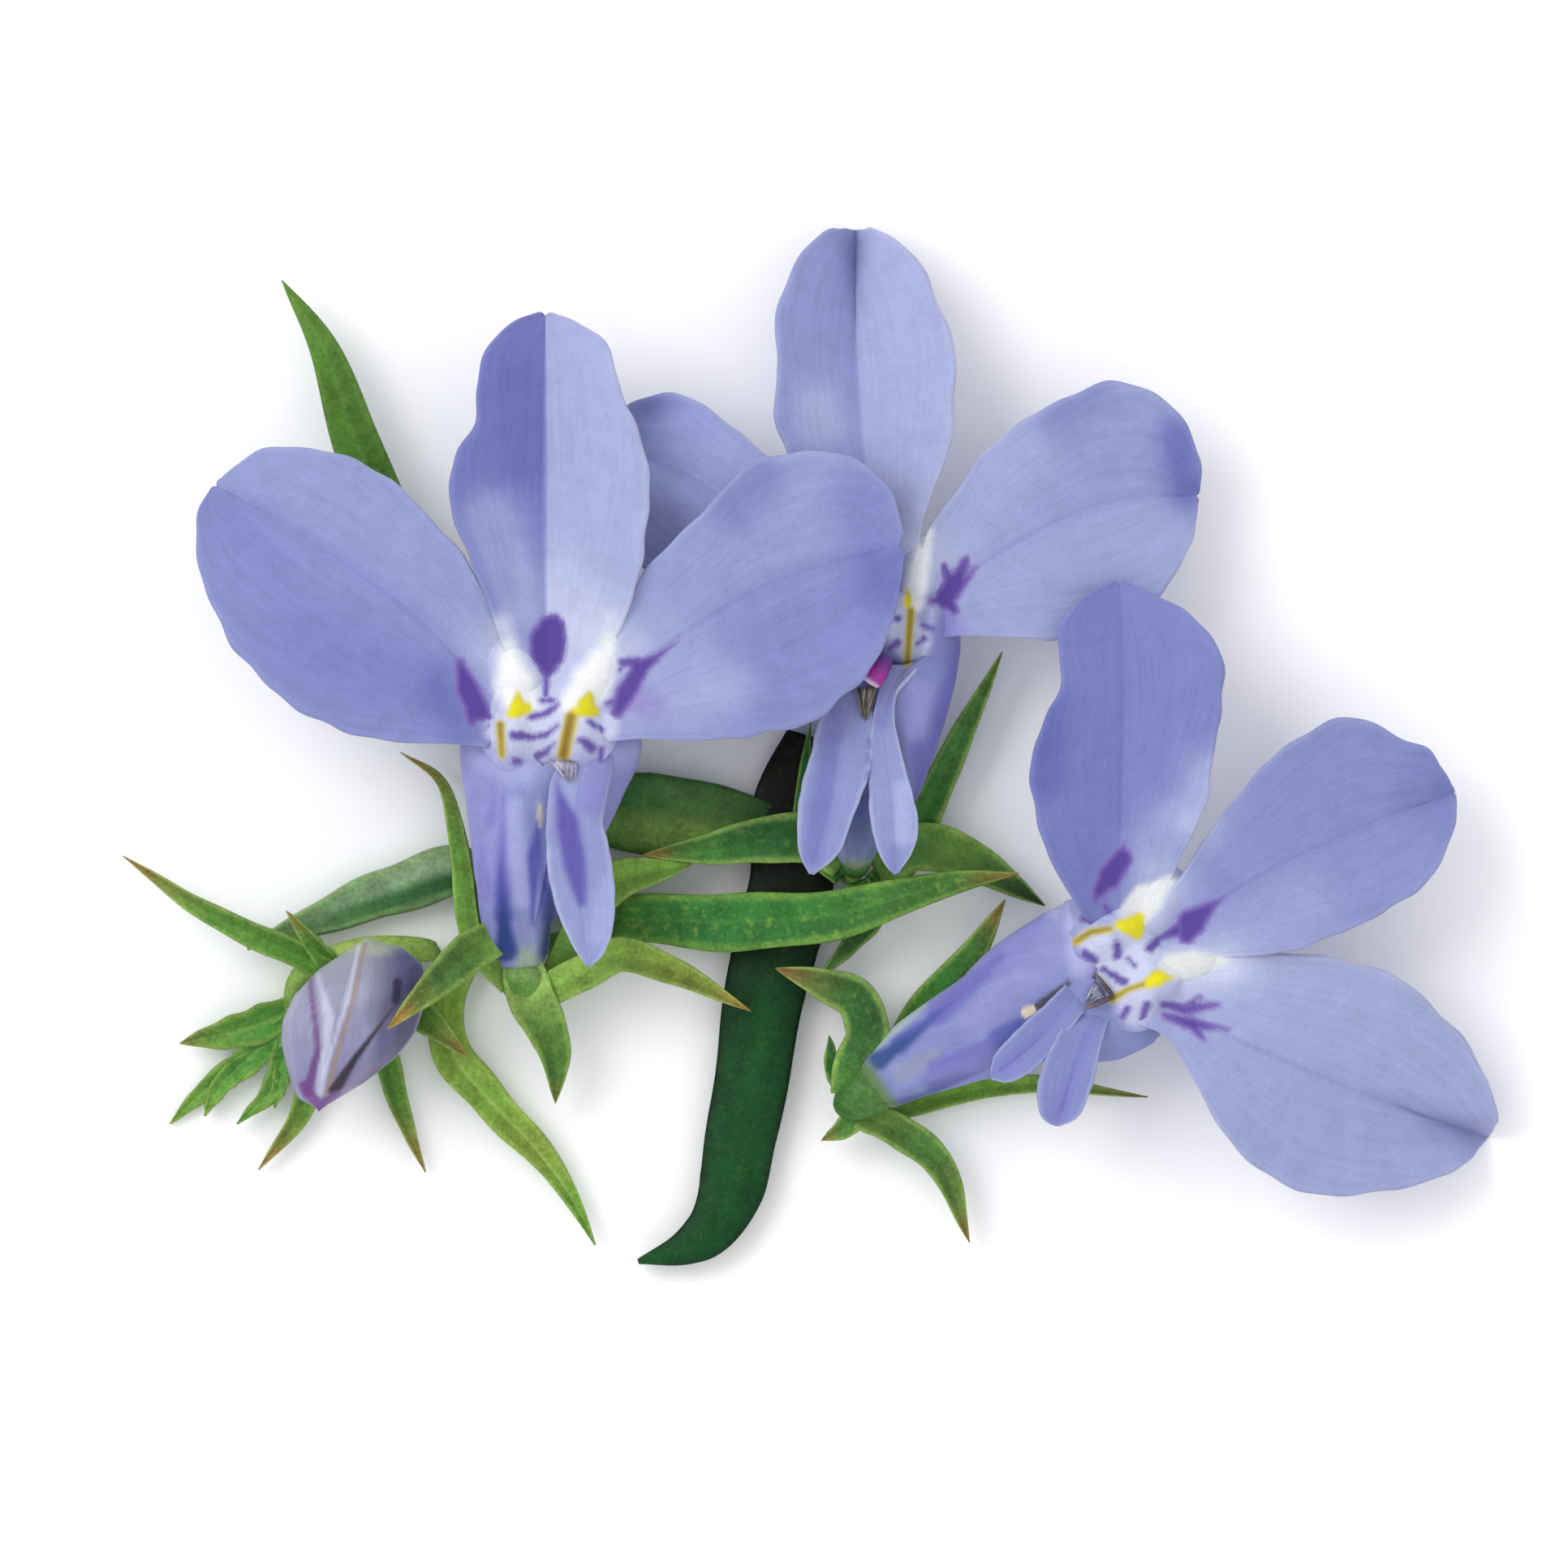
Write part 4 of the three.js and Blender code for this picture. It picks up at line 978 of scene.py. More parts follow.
def corolla(name, flower, lobes, narrow_lobes, crests, palate_shape, stations, tube_tones):
    """The lip, as lobes, ridges and palate, and the rest, as the tube and its narrow lobes. A
    flower's places are in mm from its throat; its shades are strokes with a softness and an
    amount, painted shade and light among them. Its coloured strokes, the flower's own marks with
    painted shade and light among them, lie on the lip, on the tube and on the narrow lobes."""
    lip = new_piece()
    for shape in lobes:
        lobe(lip, flower, **shape)
    for crest in crests:
        ridge(lip, flower, crest)
    palate(lip, flower, **palate_shape)
    keep_marks(lip, flower)
    finish_piece(lip, f"{name}_lip", petal_skin, f"{name}_corolla", PETAL_WALL)
    rest = new_piece()
    tube(rest, flower, stations, tube_tones)
    folded = {"stains_light_and_shade": flower["lobe_stains"], "rim": 0.22, "rim_from": 0.78, "columns": 28}
    for shape in narrow_lobes:
        lobe(rest, flower, **{"crease": 0.15, "ruffle": 0.03, **folded, **shape})
    keep_marks(rest, flower)
    finish_piece(rest, f"{name}_tube", petal_skin, f"{name}_corolla", PETAL_WALL)


LEFT = {
    "throat": (-9.6, 0.9, 5.9),
    "shades": [
        (-1.43, 2.25, 0.36, -1.06, 0.3, 0.42, 1.5, 0.3),
        (1.99, 2.25, 0.36, 0.73, 0.3, 0.42, 1.5, 0.3),
        (-3.46, 1.2, 0.48, -2.71, -0.3, 0.3, 0.9, -0.2),
        (-2.21, 7.5, 0.48, -1.06, 4.5, 0.42, 0.66, 0.26),
        (0.73, 4.95, 0.24, 1.33, 3.9, 0.24, 1.2, 0.12),
        (11.59, 8.25, 0.18, 12.49, 5.1, 0.24, 1.08, -0.16),
        (7.79, 9.15, 0.09, 6.88, 7.95, 0.15, 0.9, -0.14),
        (4.93, 2.55, 0.3, 5.83, 1.5, 0.3, 1.32, 0.1), (6.73, 1.2, 0.24, 3.73, 0, 0.18, 0.9, 0.12),
        (-9.01, 3, 0.3, -5.87, 1.8, 0.3, 1.2, -0.06),
        (-10.37, 5.7, 0.18, -11.26, 7.5, 0.18, 0.9, -0.03),
        (8.54, 2.7, 0.9, 10.93, 3.9, 0.6, 1.5, -0.03),
        (-0.91, 7.5, 0.18, -0.61, 5.7, 0.18, 0.72, 0.08),
        (-0.77, 9.9, 0.3, -1.06, 12.3, 0.3, 0.9, -0.07),
    ],
    "stains_light_and_shade": [
        ("#cbd0e4", 0.66, 0.8,
         [(-1.72, 3.6, 0, -1.3, 1.8, 0.24), (2.29, 3.72, 0, 1.88, 1.92, 0.24)]),
        ("#eff0f2", 0.6, 1,
         [(-1.48, 2.88, -0.18, -1.21, 1.32, 0.36), (-1.21, 1.32, 0.42, -0.91, 0.54, 0.24)]),
        ("#eeefef", 0.6, 1,
         [(2.29, 3.12, -0.12, 1.64, 1.44, 0.36), (1.64, 1.44, 0.42, 1.03, 0.54, 0.24)]),
        ("#cdd1ea", 0.42, 0.75, [(-1.84, -0.18, 0.36, 2.08, -0.18, 0.36)]),
        ("#bcc0e2", 0.6, 0.5, [(-1.36, -0.96, 0.24, 1.48, -0.96, 0.24)]),
        ("#a3a7d6", 0.78, 0.8,
         [(-2.56, -1.32, 0.06, -1.06, -1.92, 0.24), (1.19, -1.92, 0.24, 2.77, -1.2, 0.06)]),
        ("#8f84c4", 0.72, 0.6, [(2.98, 1.02, 0.24, 3.92, 0.6, 0.12)]),
    ],
    "tube_stains_and_shade": [
        ("#8e8dc8", 0.9, 0.7,
         [(-2.56, -2.1, 0.6, -2.08, -5.7, 0.48), (1.93, -1.5, 1.2, 1.33, -3.3, 0.9)]),
        ("#a5a9da", 0.78, 0.85,
         [(-2.56, -1.05, 0.12, -1.06, -1.68, 0.24), (1.33, -1.62, 0.24, 3.01, -0.84, 0.18)]),
        ("#7a72ba", 0.36, 0.6,
         [(-2.69, -2.7, -0.3, -2.27, -6.3, 0.12), (-1.91, -1.8, -0.24, -2.08, -3.6, 0.06)]),
        ("#a2a6d8", 0.48, 0.8,
         [(-1.19, -3, 0.06, -1.12, -5.1, 0.18), (-1, -5.22, 0.12, -0.89, -6.54, 0.12)]),
        ("#6c69b6", 0.33, 0.85, [(-1.6, -2.7, -0.18, -1.69, -6.3, 0.15)]),
        ("#868cb8", 0.42, 0.9, [(-0.89, -7.26, 0.06, -0.77, -8.1, 0.3)]),
        ("#8fa68a", 0.6, 0.9, [(-0.82, -8.64, 0.06, -0.77, -9.3, 0.3)]),
        ("#4f52a6", 0.3, 0.9,
         [(-0.34, -3.42, -0.15, -0.49, -4.98, 0.15), (-0.49, -4.98, 0.15, -0.61, -7.38, -0.12)]),
        ("#474a9c", 0.33, 0.9,
         [(-1.69, -4.8, -0.21, -1.64, -7.08, 0.18), (-0.22, -5.1, -0.21, 0.01, -7.08, 0.18)]),
        ("#213a7a", 0.36, 1, [(-1.69, -6, -0.24, -1.54, -8.4, 0.24)]),
        ("#2c4070", 0.36, 1, [(0.04, -6, -0.24, -0.04, -8.46, 0.18)]),
        ("#d8ccb4", 0.12, 0.85,
         [(-0.34, -2.58, -0.09, -0.32, -3.3, 0.06), (-0.32, -3.3, 0.06, -0.32, -3.96, -0.06)]),
    ],
    "lobe_stains": [("#7a76bf", 0.54, 0.5, [(1.93, -1.65, 0.24, 1.64, -2.85, 0.3)]),
                    ("#8388c2", 0.6, 0.5, [(-0.04, -2.1, 0.06, 0.01, -4.2, 0.06)]),
                    ("#5c54a7", 0.39, 0.95,
                     [(0.26, -2.1, -0.24, 0.73, -3.72, 0.24), (0.73, -3.72, 0.24, 1, -5.28, 0.24),
                      (1, -5.28, 0.24, 1.24, -6.6, 0)]),
                    ("#a3abdb", 0.54, 0.7, [(2.17, -6, 0.06, 1.88, -7.8, 0.12)])],
    "violet_reach": [
        (0.28, 3.78, 0.27, 0.14, 3.42, 0.6), (0.14, 3.42, 0.6, 0.01, 3, 0.75),
        (0.01, 3, 0.75, -0.01, 2.58, 0.69), (-0.01, 2.58, 0.69, -0.01, 2.1, 0.42),
        (-0.01, 2.1, 0.39, -0.04, 1.68, 0.15), (-0.04, 1.74, 0.12, -0.07, 0.96, 0.12),
        (-0.22, 0.78, 0.12, 0.2, 0.78, 0.12), (-3.25, 2.19, 0.21, -2.96, 1.2, 0.48),
        (-2.96, 1.2, 0.48, -2.56, 0.42, 0.45), (-2.56, 0.36, 0.33, -2.08, 0.18, 0.12),
        (-2.8, 0.36, 0.36, -2.83, 0, 0.21), (4.88, 3.12, 0.06, 3.97, 2.34, 0.18),
        (3.97, 2.34, 0.21, 3.38, 1.98, 0.39), (3.31, 2.22, 0.24, 2.77, 2.22, 0.18),
        (2.77, 2.22, 0.12, 2.69, 1.92, 0.09), (3.38, 1.86, 0.36, 2.9, 1.08, 0.42),
        (2.9, 1.08, 0.42, 2.59, 0.39, 0.27), (2.77, 0.84, 0.18, 2.23, 0.72, 0.12),
        (-0.7, 0.18, 0.12, -0.1, 0.3, 0.15), (-0.1, 0.3, 0.15, 0.43, 0.66, 0.09),
        (-1.24, -0.45, 0.18, -0.58, -0.51, 0.15), (-0.58, -0.51, 0.12, -0.1, -0.45, 0.12),
        (-0.1, -0.45, 0.12, 0.4, -0.09, 0.09), (-0.4, -1.2, 0.15, -0.1, -1.08, 0.15),
        (-0.1, -1.08, 0.12, 0.26, -0.72, 0.06), (-1.21, -1.38, 0.15, -1.12, -1.38, 0.15),
        (1.45, 0.03, 0.09, 1.99, -0.27, 0.12), (1.21, -0.63, 0.15, 1.57, -0.9, 0.18),
        (1.93, -0.96, 0.12, 1.93, -1.44, 0.12), (-2.44, -0.3, 0.06, -2.21, -0.09, 0.09),
    ],
    "yellow_reach": [(-1.12, 1.05, 0.06, -1.12, 0.54, 0.3), (-1.3, 0.3, 0.18, -0.82, 0.51, 0.21),
                     (1.54, 1.14, 0.06, 1.4, 0.63, 0.33), (1.06, 0.39, 0.18, 1.64, 0.39, 0.21)],
    "ochre_reach": [(-1.67, -0.09, 0.18, -1.64, -1.17, 0.15),
                    (0.91, 0.18, 0.24, 0.61, -1.14, 0.27)],
}
corolla(
    "left",
    LEFT,
    [
        {
            "left": [(-2.2, -0.9), (-3.6, -0.8), (-5.8, -0.7), (-8.6, 0.1), (-11.3, 2.4),
                     (-12.7, 5.1), (-13, 7.4)],
            "middle": [(-1.4, 0.2, -0.5), (-4.9, 3.9, 0), (-8.9, 6.8, -0.5), (-12.4, 8.8, -1.7)],
            "right": [(-0.5, 1.3), (-1.3, 3), (-2.1, 4.4), (-3.1, 6.1), (-4.5, 7.7), (-6, 9.1),
                      (-8.2, 10), (-10.4, 10.1)],
            "tones": (0.46, 0.57), "soft": 0.4,
        },
        {
            "left": [(-1.1, 1), (-2.2, 4.4), (-3.5, 7.7), (-3.6, 8.9), (-3.4, 9.8), (-2.7, 11),
                     (-2.6, 12.4), (-2.2, 13.9), (-1.2, 14.8)],
            "middle": [(0, 0.9, -0.5), (-0.1, 5, 0.1), (-0.1, 10, 0), (-0.1, 15.2, -0.9)],
            "right": [(1.2, 1), (2.7, 3.4), (3.4, 5.6), (3.75, 8.2), (3.6, 10), (2.9, 11.7),
                      (2.6, 12.6), (2.2, 13.9), (1.2, 14.7)],
            # Its left half is painted in shade and its right half pale, on either side of its sharp
            # crease.
            "crease": 0.8, "tones": (0.3, 0.72), "soft": 0.03,
        },
        {
            "left": [(0.5, 1.3), (1.6, 2.6), (2.7, 3.8), (3.6, 5.6), (5.7, 7.7), (7.5, 9.5),
                     (9.7, 10), (11.5, 9.6), (12.6, 8.6)],
            "middle": [(1.3, 0.4, -0.4), (4.4, 2.9, 0.3), (8.4, 5.2, 0.3), (13.2, 6.6, 0.1)],
            "right": [(2.2, -0.7), (3.4, -0.6), (5.4, -0.7), (7.5, -0.5), (9.7, 0), (11, 1),
                      (12.2, 2.4), (12.9, 4.5)],
            "crease": 0.4, "tones": (0.6, 0.48), "soft": 0.4,
        },
    ],
    [
        {
            "left": [(2.3, -0.7), (2.35, -1.8), (2.1, -3), (2, -3.7), (2.15, -4.3), (2.4, -5.5),
                     (2.45, -7.2), (2.15, -8.4)],
            "middle": [(1.5, -1.1, -0.75), (1.25, -2, -0.35), (1.05, -3.2, -0.3), (1, -5.4, -0.5),
                       (1.5, -9.1, -0.9)],
            "right": [(0.6, -1.4), (0.15, -2.1), (0, -3), (0, -5.4), (0.4, -7.1), (1, -8.4)],
            "tones": (0.58, 0.62), "sinks": (0.6, 0),
        },
        {
            "left": [(0.4, -1.5), (0.35, -2.4), (0.2, -3.6), (0, -5), (-0.3, -6.8)],
            "middle": [(-1.3, -1.2, -0.8), (-1.1, -2.2, -0.6), (-1, -3.5, -0.8), (-1, -5, -1.35),
                       (-0.95, -8.5, -3.1)],
            "right": [(-2.6, -0.9), (-2.3, -2), (-2, -3.5), (-1.95, -5), (-1.75, -6.8)],
            "crease": -0.3, "tones": (0.5, 0.5), "rim": 0, "rib": 0, "stains_light_and_shade": LEFT["tube_stains_and_shade"],
            "sinks": (0, 1.2),
        },
    ],
    [[(-0.6, 0.6, 0.1), (-1.3, 2, 0.25), (-1.8, 3.4, 0.12)],
     [(0.7, 0.6, 0.1), (1.7, 2, 0.25), (2.4, 3.3, 0.12)]],
    {"turn": 0, "half": 2.6, "from_y": 2.6, "to_y": -2.5},
    [
        (-0.98, -9.2, -3.5, 0.15, 0.2, 0),
        (-1, -8.95, -3.45, 0.68, 0.7, 0),
        (-1.03, -8.4, -3.35, 0.95, 0.95, 0),
        (-1.2, -7.3, -3.1, 1.25, 1.05, 0),
        (-1, -6, -2.75, 1.7, 1.2, 0),
        (-0.7, -4.5, -2.45, 2.22, 1.35, 0),
        (-0.4, -2.9, -2.15, 2.73, 1.45, 0),
        (-0.2, -1.6, -2, 3.1, 1.45, 0),
        (0, -0.5, -1.95, 3.3, 1.35, 30),
        (0, 0.2, -2.1, 2.7, 1.1, 60),
        (0, 0.7, -2.3, 1.7, 0.8, 75),
    ],
    [0.45, 0.45, 0.5, 0.5, 0.55],
)

BACK = {
    "throat": (3.7, 4.5, 4.5),
    "shades": [
        (0.58, 2.1, 0.12, 0.04, 0.6, 0.12, 1.2, 0.25),
        (-3.2, 7.35, 0.24, -3.38, 8.1, 0.18, 0.78, 0.2),
        (-2.12, 3.9, 0.24, -2.36, 4.8, 0.18, 0.78, -0.12),
        (1.54, 3.6, 0.48, 3.94, 6.3, 0.42, 1.2, 0.1), (5.44, 7.65, 0.18, 6.94, 9, 0.12, 0.72, -0.1),
        (9.94, 6.9, 0.12, 10.36, 4.92, 0.12, 0.72, -0.32),
        # Painted light: the left lobe lies in the left flower's shadow, and this stroke lightens
        # it.
        (-7.76, 6.3, 1.2, -5.66, 4.5, 0.9, 0.9, 0.2),
        (-9.56, 8.16, 0.06, -7.7, 7.38, 0.18, 0.48, -0.16),
        (1.24, -0.3, 0.18, 1, -0.9, 0.18, 0.6, -0.12),
    ],
    "stains_light_and_shade": [
        ("#e9ebef", 0.36, 1, [(0.76, 3.42, 0, 0.4, 2.1, 0.15), (0.4, 2.1, 0.15, 0.22, 0.84, 0.21)]),
        ("#8f8dca", 0.6, 0.9, [(1.72, -0.18, 0.12, 1.24, -1.26, 0.3)]),
        # Painted light: a pale blue over the left lobe, which lies in the left flower's shadow.
        ("#a2aae4", 1.2, 0.6, [(-8.06, 6.3, 1.2, -5.66, 3.9, 0.9)]),
        ("#c6cbe6", 0.42, 0.8, [(-0.32, 0, 0.42, 0.34, -0.9, 0.42)]),
        ("#8583c4", 0.36, 0.95, [(1.48, 0.24, 0.12, 1, -1.26, 0.21)]),
    ],
    "tube_stains_and_shade": [
        ("#655fb0", 0.6, 0.85,
         [(1.96, -0.9, 0.06, 1.06, -4.05, 0.09), (1.06, -4.05, 0.09, 0.46, -6.3, 0.06)]),
        ("#6d67b2", 0.27, 0.75,
         [(0.52, -3.3, -0.18, 0.28, -4.5, 0.12), (0.28, -4.5, 0.12, 0.34, -5.58, 0)]),
        ("#8f90cc", 0.48, 0.7, [(0.4, -2.4, 0.18, 0.34, -3.9, 0.12)]),
        ("#5864ac", 0.36, 0.8, [(-1.76, -6.42, 0, -1.79, -7.44, 0.09)]),
        ("#66739c", 0.42, 0.9, [(-1.76, -7.5, 0.12, -1.76, -8.28, 0.24)]),
        ("#6f8650", 0.42, 0.85, [(-2.18, -8.94, 0.09, -1.22, -8.94, 0.09)]),
    ],
    "lobe_stains": [
        ("#7378b8", 0.54, 0.8,
         [(-2.72, -3.3, 0.06, -2.96, -5.4, 0.15), (-2.96, -5.4, 0.15, -3.26, -6.9, 0.18),
          (-3.26, -6.9, 0.18, -3.5, -8.58, 0.06)]),
        ("#8f95cc", 0.42, 0.5, [(-2.24, -4.5, 0.09, -2.48, -6.9, 0.09)]),
        ("#aab3de", 0.42, 0.7, [(-0.2, -6, 0.09, -0.14, -7.8, 0.12)]),
        ("#7f84c0", 0.42, 0.7,
         [(-0.92, -2.7, 0.09, -0.98, -3.6, 0.09), (-0.56, -8.4, 0.03, -0.5, -9, 0.03)]),
        ("#6f79b8", 0.12, 0.7,
         [(-1.46, -4.26, 0.03, -1.43, -4.5, 0.03), (-1.49, -4.8, 0.03, -1.46, -5.1, 0.03),
          (-1.46, -5.43, 0.03, -1.49, -5.7, 0.03), (-1.46, -6, 0.03, -1.49, -6.36, 0.03)]),
    ],
    "violet_reach": [
        (1.3, 2.19, 0.15, 1.6, 1.5, 0.3), (2.14, 2.4, 0.18, 1.78, 1.56, 0.36),
        (2.53, 2.13, 0.09, 2.02, 1.5, 0.21), (1.75, 1.56, 0.45, 1.36, 0.96, 0.45),
        (1.3, 0.96, 0.36, 0.94, 0.84, 0.18), (1.48, 0.84, 0.33, 1.72, 0.54, 0.21),
        (-0.47, 0.24, 0.12, -0.41, 0.24, 0.15), (-0.74, -0.84, 0.12, -0.38, -0.6, 0.15),
        (0.58, 0, 0.09, 0.82, -0.12, 0.12), (0.4, -0.66, 0.09, 0.64, -0.48, 0.09),
    ],
    "yellow_reach": [(0.01, 1.29, 0.06, -0.02, 0.78, 0.18)],
    "ochre_reach": [(0.1, 0.48, 0.18, -0.02, -1.44, 0.15)],
}
corolla(
    "back",
    BACK,
    [
        {
            "left": [(-1.2, 0.6), (-3, 3.3), (-4.5, 6.4), (-4.9, 7.5), (-4.8, 9.8), (-4.9, 10.9),
                     (-4.6, 12.4), (-4, 13.7), (-3.2, 14.5)],
            "middle": [(-0.3, 0.8, -0.4), (-1.5, 5, -0.3), (-1.9, 10, -1.6), (-1.9, 14.7, -4.5)],
            "right": [(0.3, 1.1), (0.5, 3.7), (1.5, 6.5), (1.7, 8.3), (1.7, 10.2), (1, 12.2),
                      (0.2, 13.7), (-0.8, 14.5)],
            "crease": 0.7, "tones": (0.54, 0.72), "soft": 0.06,
        },
        {
            "left": [(0.2, 1.6), (0.7, 3.4), (1.9, 5.1), (2.9, 6.5), (5.6, 8.3), (7.7, 9),
                     (8.9, 8.7), (10.1, 7.7), (10.8, 6.2)],
            "middle": [(0.6, 0.7, -0.4), (4.4, 3.3, -0.3), (7.6, 4.6, -0.9), (10.8, 4.8, -1.8)],
            "right": [(0.7, -0.6), (1.9, -0.4), (4.2, -0.5), (5.8, -0.5), (7.8, 0.1), (9.4, 1.2),
                      (10.4, 2.9)],
            "crease": 0.3, "tones": (0.6, 0.66), "soft": 0.4,
        },
        {"left": [(-1.6, -0.4), (-4.5, -0.3), (-7.8, 0.8), (-10.2, 2.6), (-11.2, 4.8)],
         "middle": [(-0.9, 0.6, -0.4), (-4.4, 2.8, -0.5), (-8, 5.2, -0.9), (-11.1, 6.9, -1.4)],
         "right": [(-0.7, 1.4), (-2.8, 4.3), (-5.2, 6.2), (-6.2, 7.1), (-7.4, 8), (-8.7, 8.6),
                   (-10, 8.3), (-10.9, 7.7)],
         "crease": 0.3, "tones": (0.6, 0.55), "soft": 0.4},
    ],
    [
        {
            "left": [(-1.2, -1.6), (-1.3, -2.4), (-1.32, -3.3), (-1.32, -4.5), (-1.45, -5.6),
                     (-1.8, -6.5), (-2.1, -7.3), (-2.6, -8.5)],
            "middle": [(-1.8, -1.6, -0.5), (-2.1, -2.6, -0.05), (-2.5, -4.2, 0), (-2.8, -6.2, 0.05),
                       (-3.6, -9.3, -0.5)],
            "right": [(-2.3, -1.7), (-2.7, -2.6), (-3.3, -3.6), (-3.6, -4.8), (-3.95, -6),
                      (-4.1, -7.5), (-4, -8.5)],
            "tones": (0.56, 0.56),
        },
        {
            "left": [(0.8, -1.2), (0.1, -1.9), (-0.4, -2.5), (-0.5, -3.4), (-0.35, -4.3),
                     (-0.1, -5.3), (0.2, -6.4), (0.37, -7.2), (0.25, -8.2)],
            "middle": [(-0.1, -1.5, -0.35), (-0.65, -2.5, 0.05), (-0.9, -3.6, 0.1),
                       (-0.8, -5, 0.05), (-0.6, -6.9, 0), (-0.44, -9.3, -0.6)],
            "right": [(-0.7, -1.5), (-1.05, -2.4), (-1.3, -3.3), (-1.42, -4.5), (-1.45, -5.7),
                      (-1.42, -6.9), (-1.25, -7.9), (-0.9, -8.8)],
            "tones": (0.6, 0.6), "crease": 0.1,
        },
    ],
    [[(0.2, 0.7, 0), (0.4, 2, 0.1), (0.62, 3.2, 0)],
     [(-1, 1, 0), (-1.8, 2.1, 0.05), (-2.4, 3, 0)]],
    {"turn": -10, "half": 1.3, "from_y": 2.2, "to_y": -2.3, "tone": 0.58},
    [
        (-1.97, -9, -2.15, 0.1, 0.15, 0),
        (-1.95, -8.75, -2.1, 0.5, 0.55, 0),
        (-1.9, -8.1, -2.05, 0.75, 0.75, 0),
        (-1.75, -7.1, -2, 1.15, 0.95, 0),
        (-1.4, -5.8, -1.8, 1.75, 1.05, 0),
        (-1.05, -4.4, -1.55, 1.9, 1.1, 0),
        (-0.7, -3, -1.35, 2, 1.15, 0),
        (-0.4, -1.8, -1.2, 2.02, 1.15, 5),
        (-0.2, -0.6, -1.1, 2.02, 1.05, 35),
        (0, 0.4, -1.1, 1.85, 0.9, 60),
    ],
    [0.6, 0.45, 0.5, 0.5, 0.5],
)

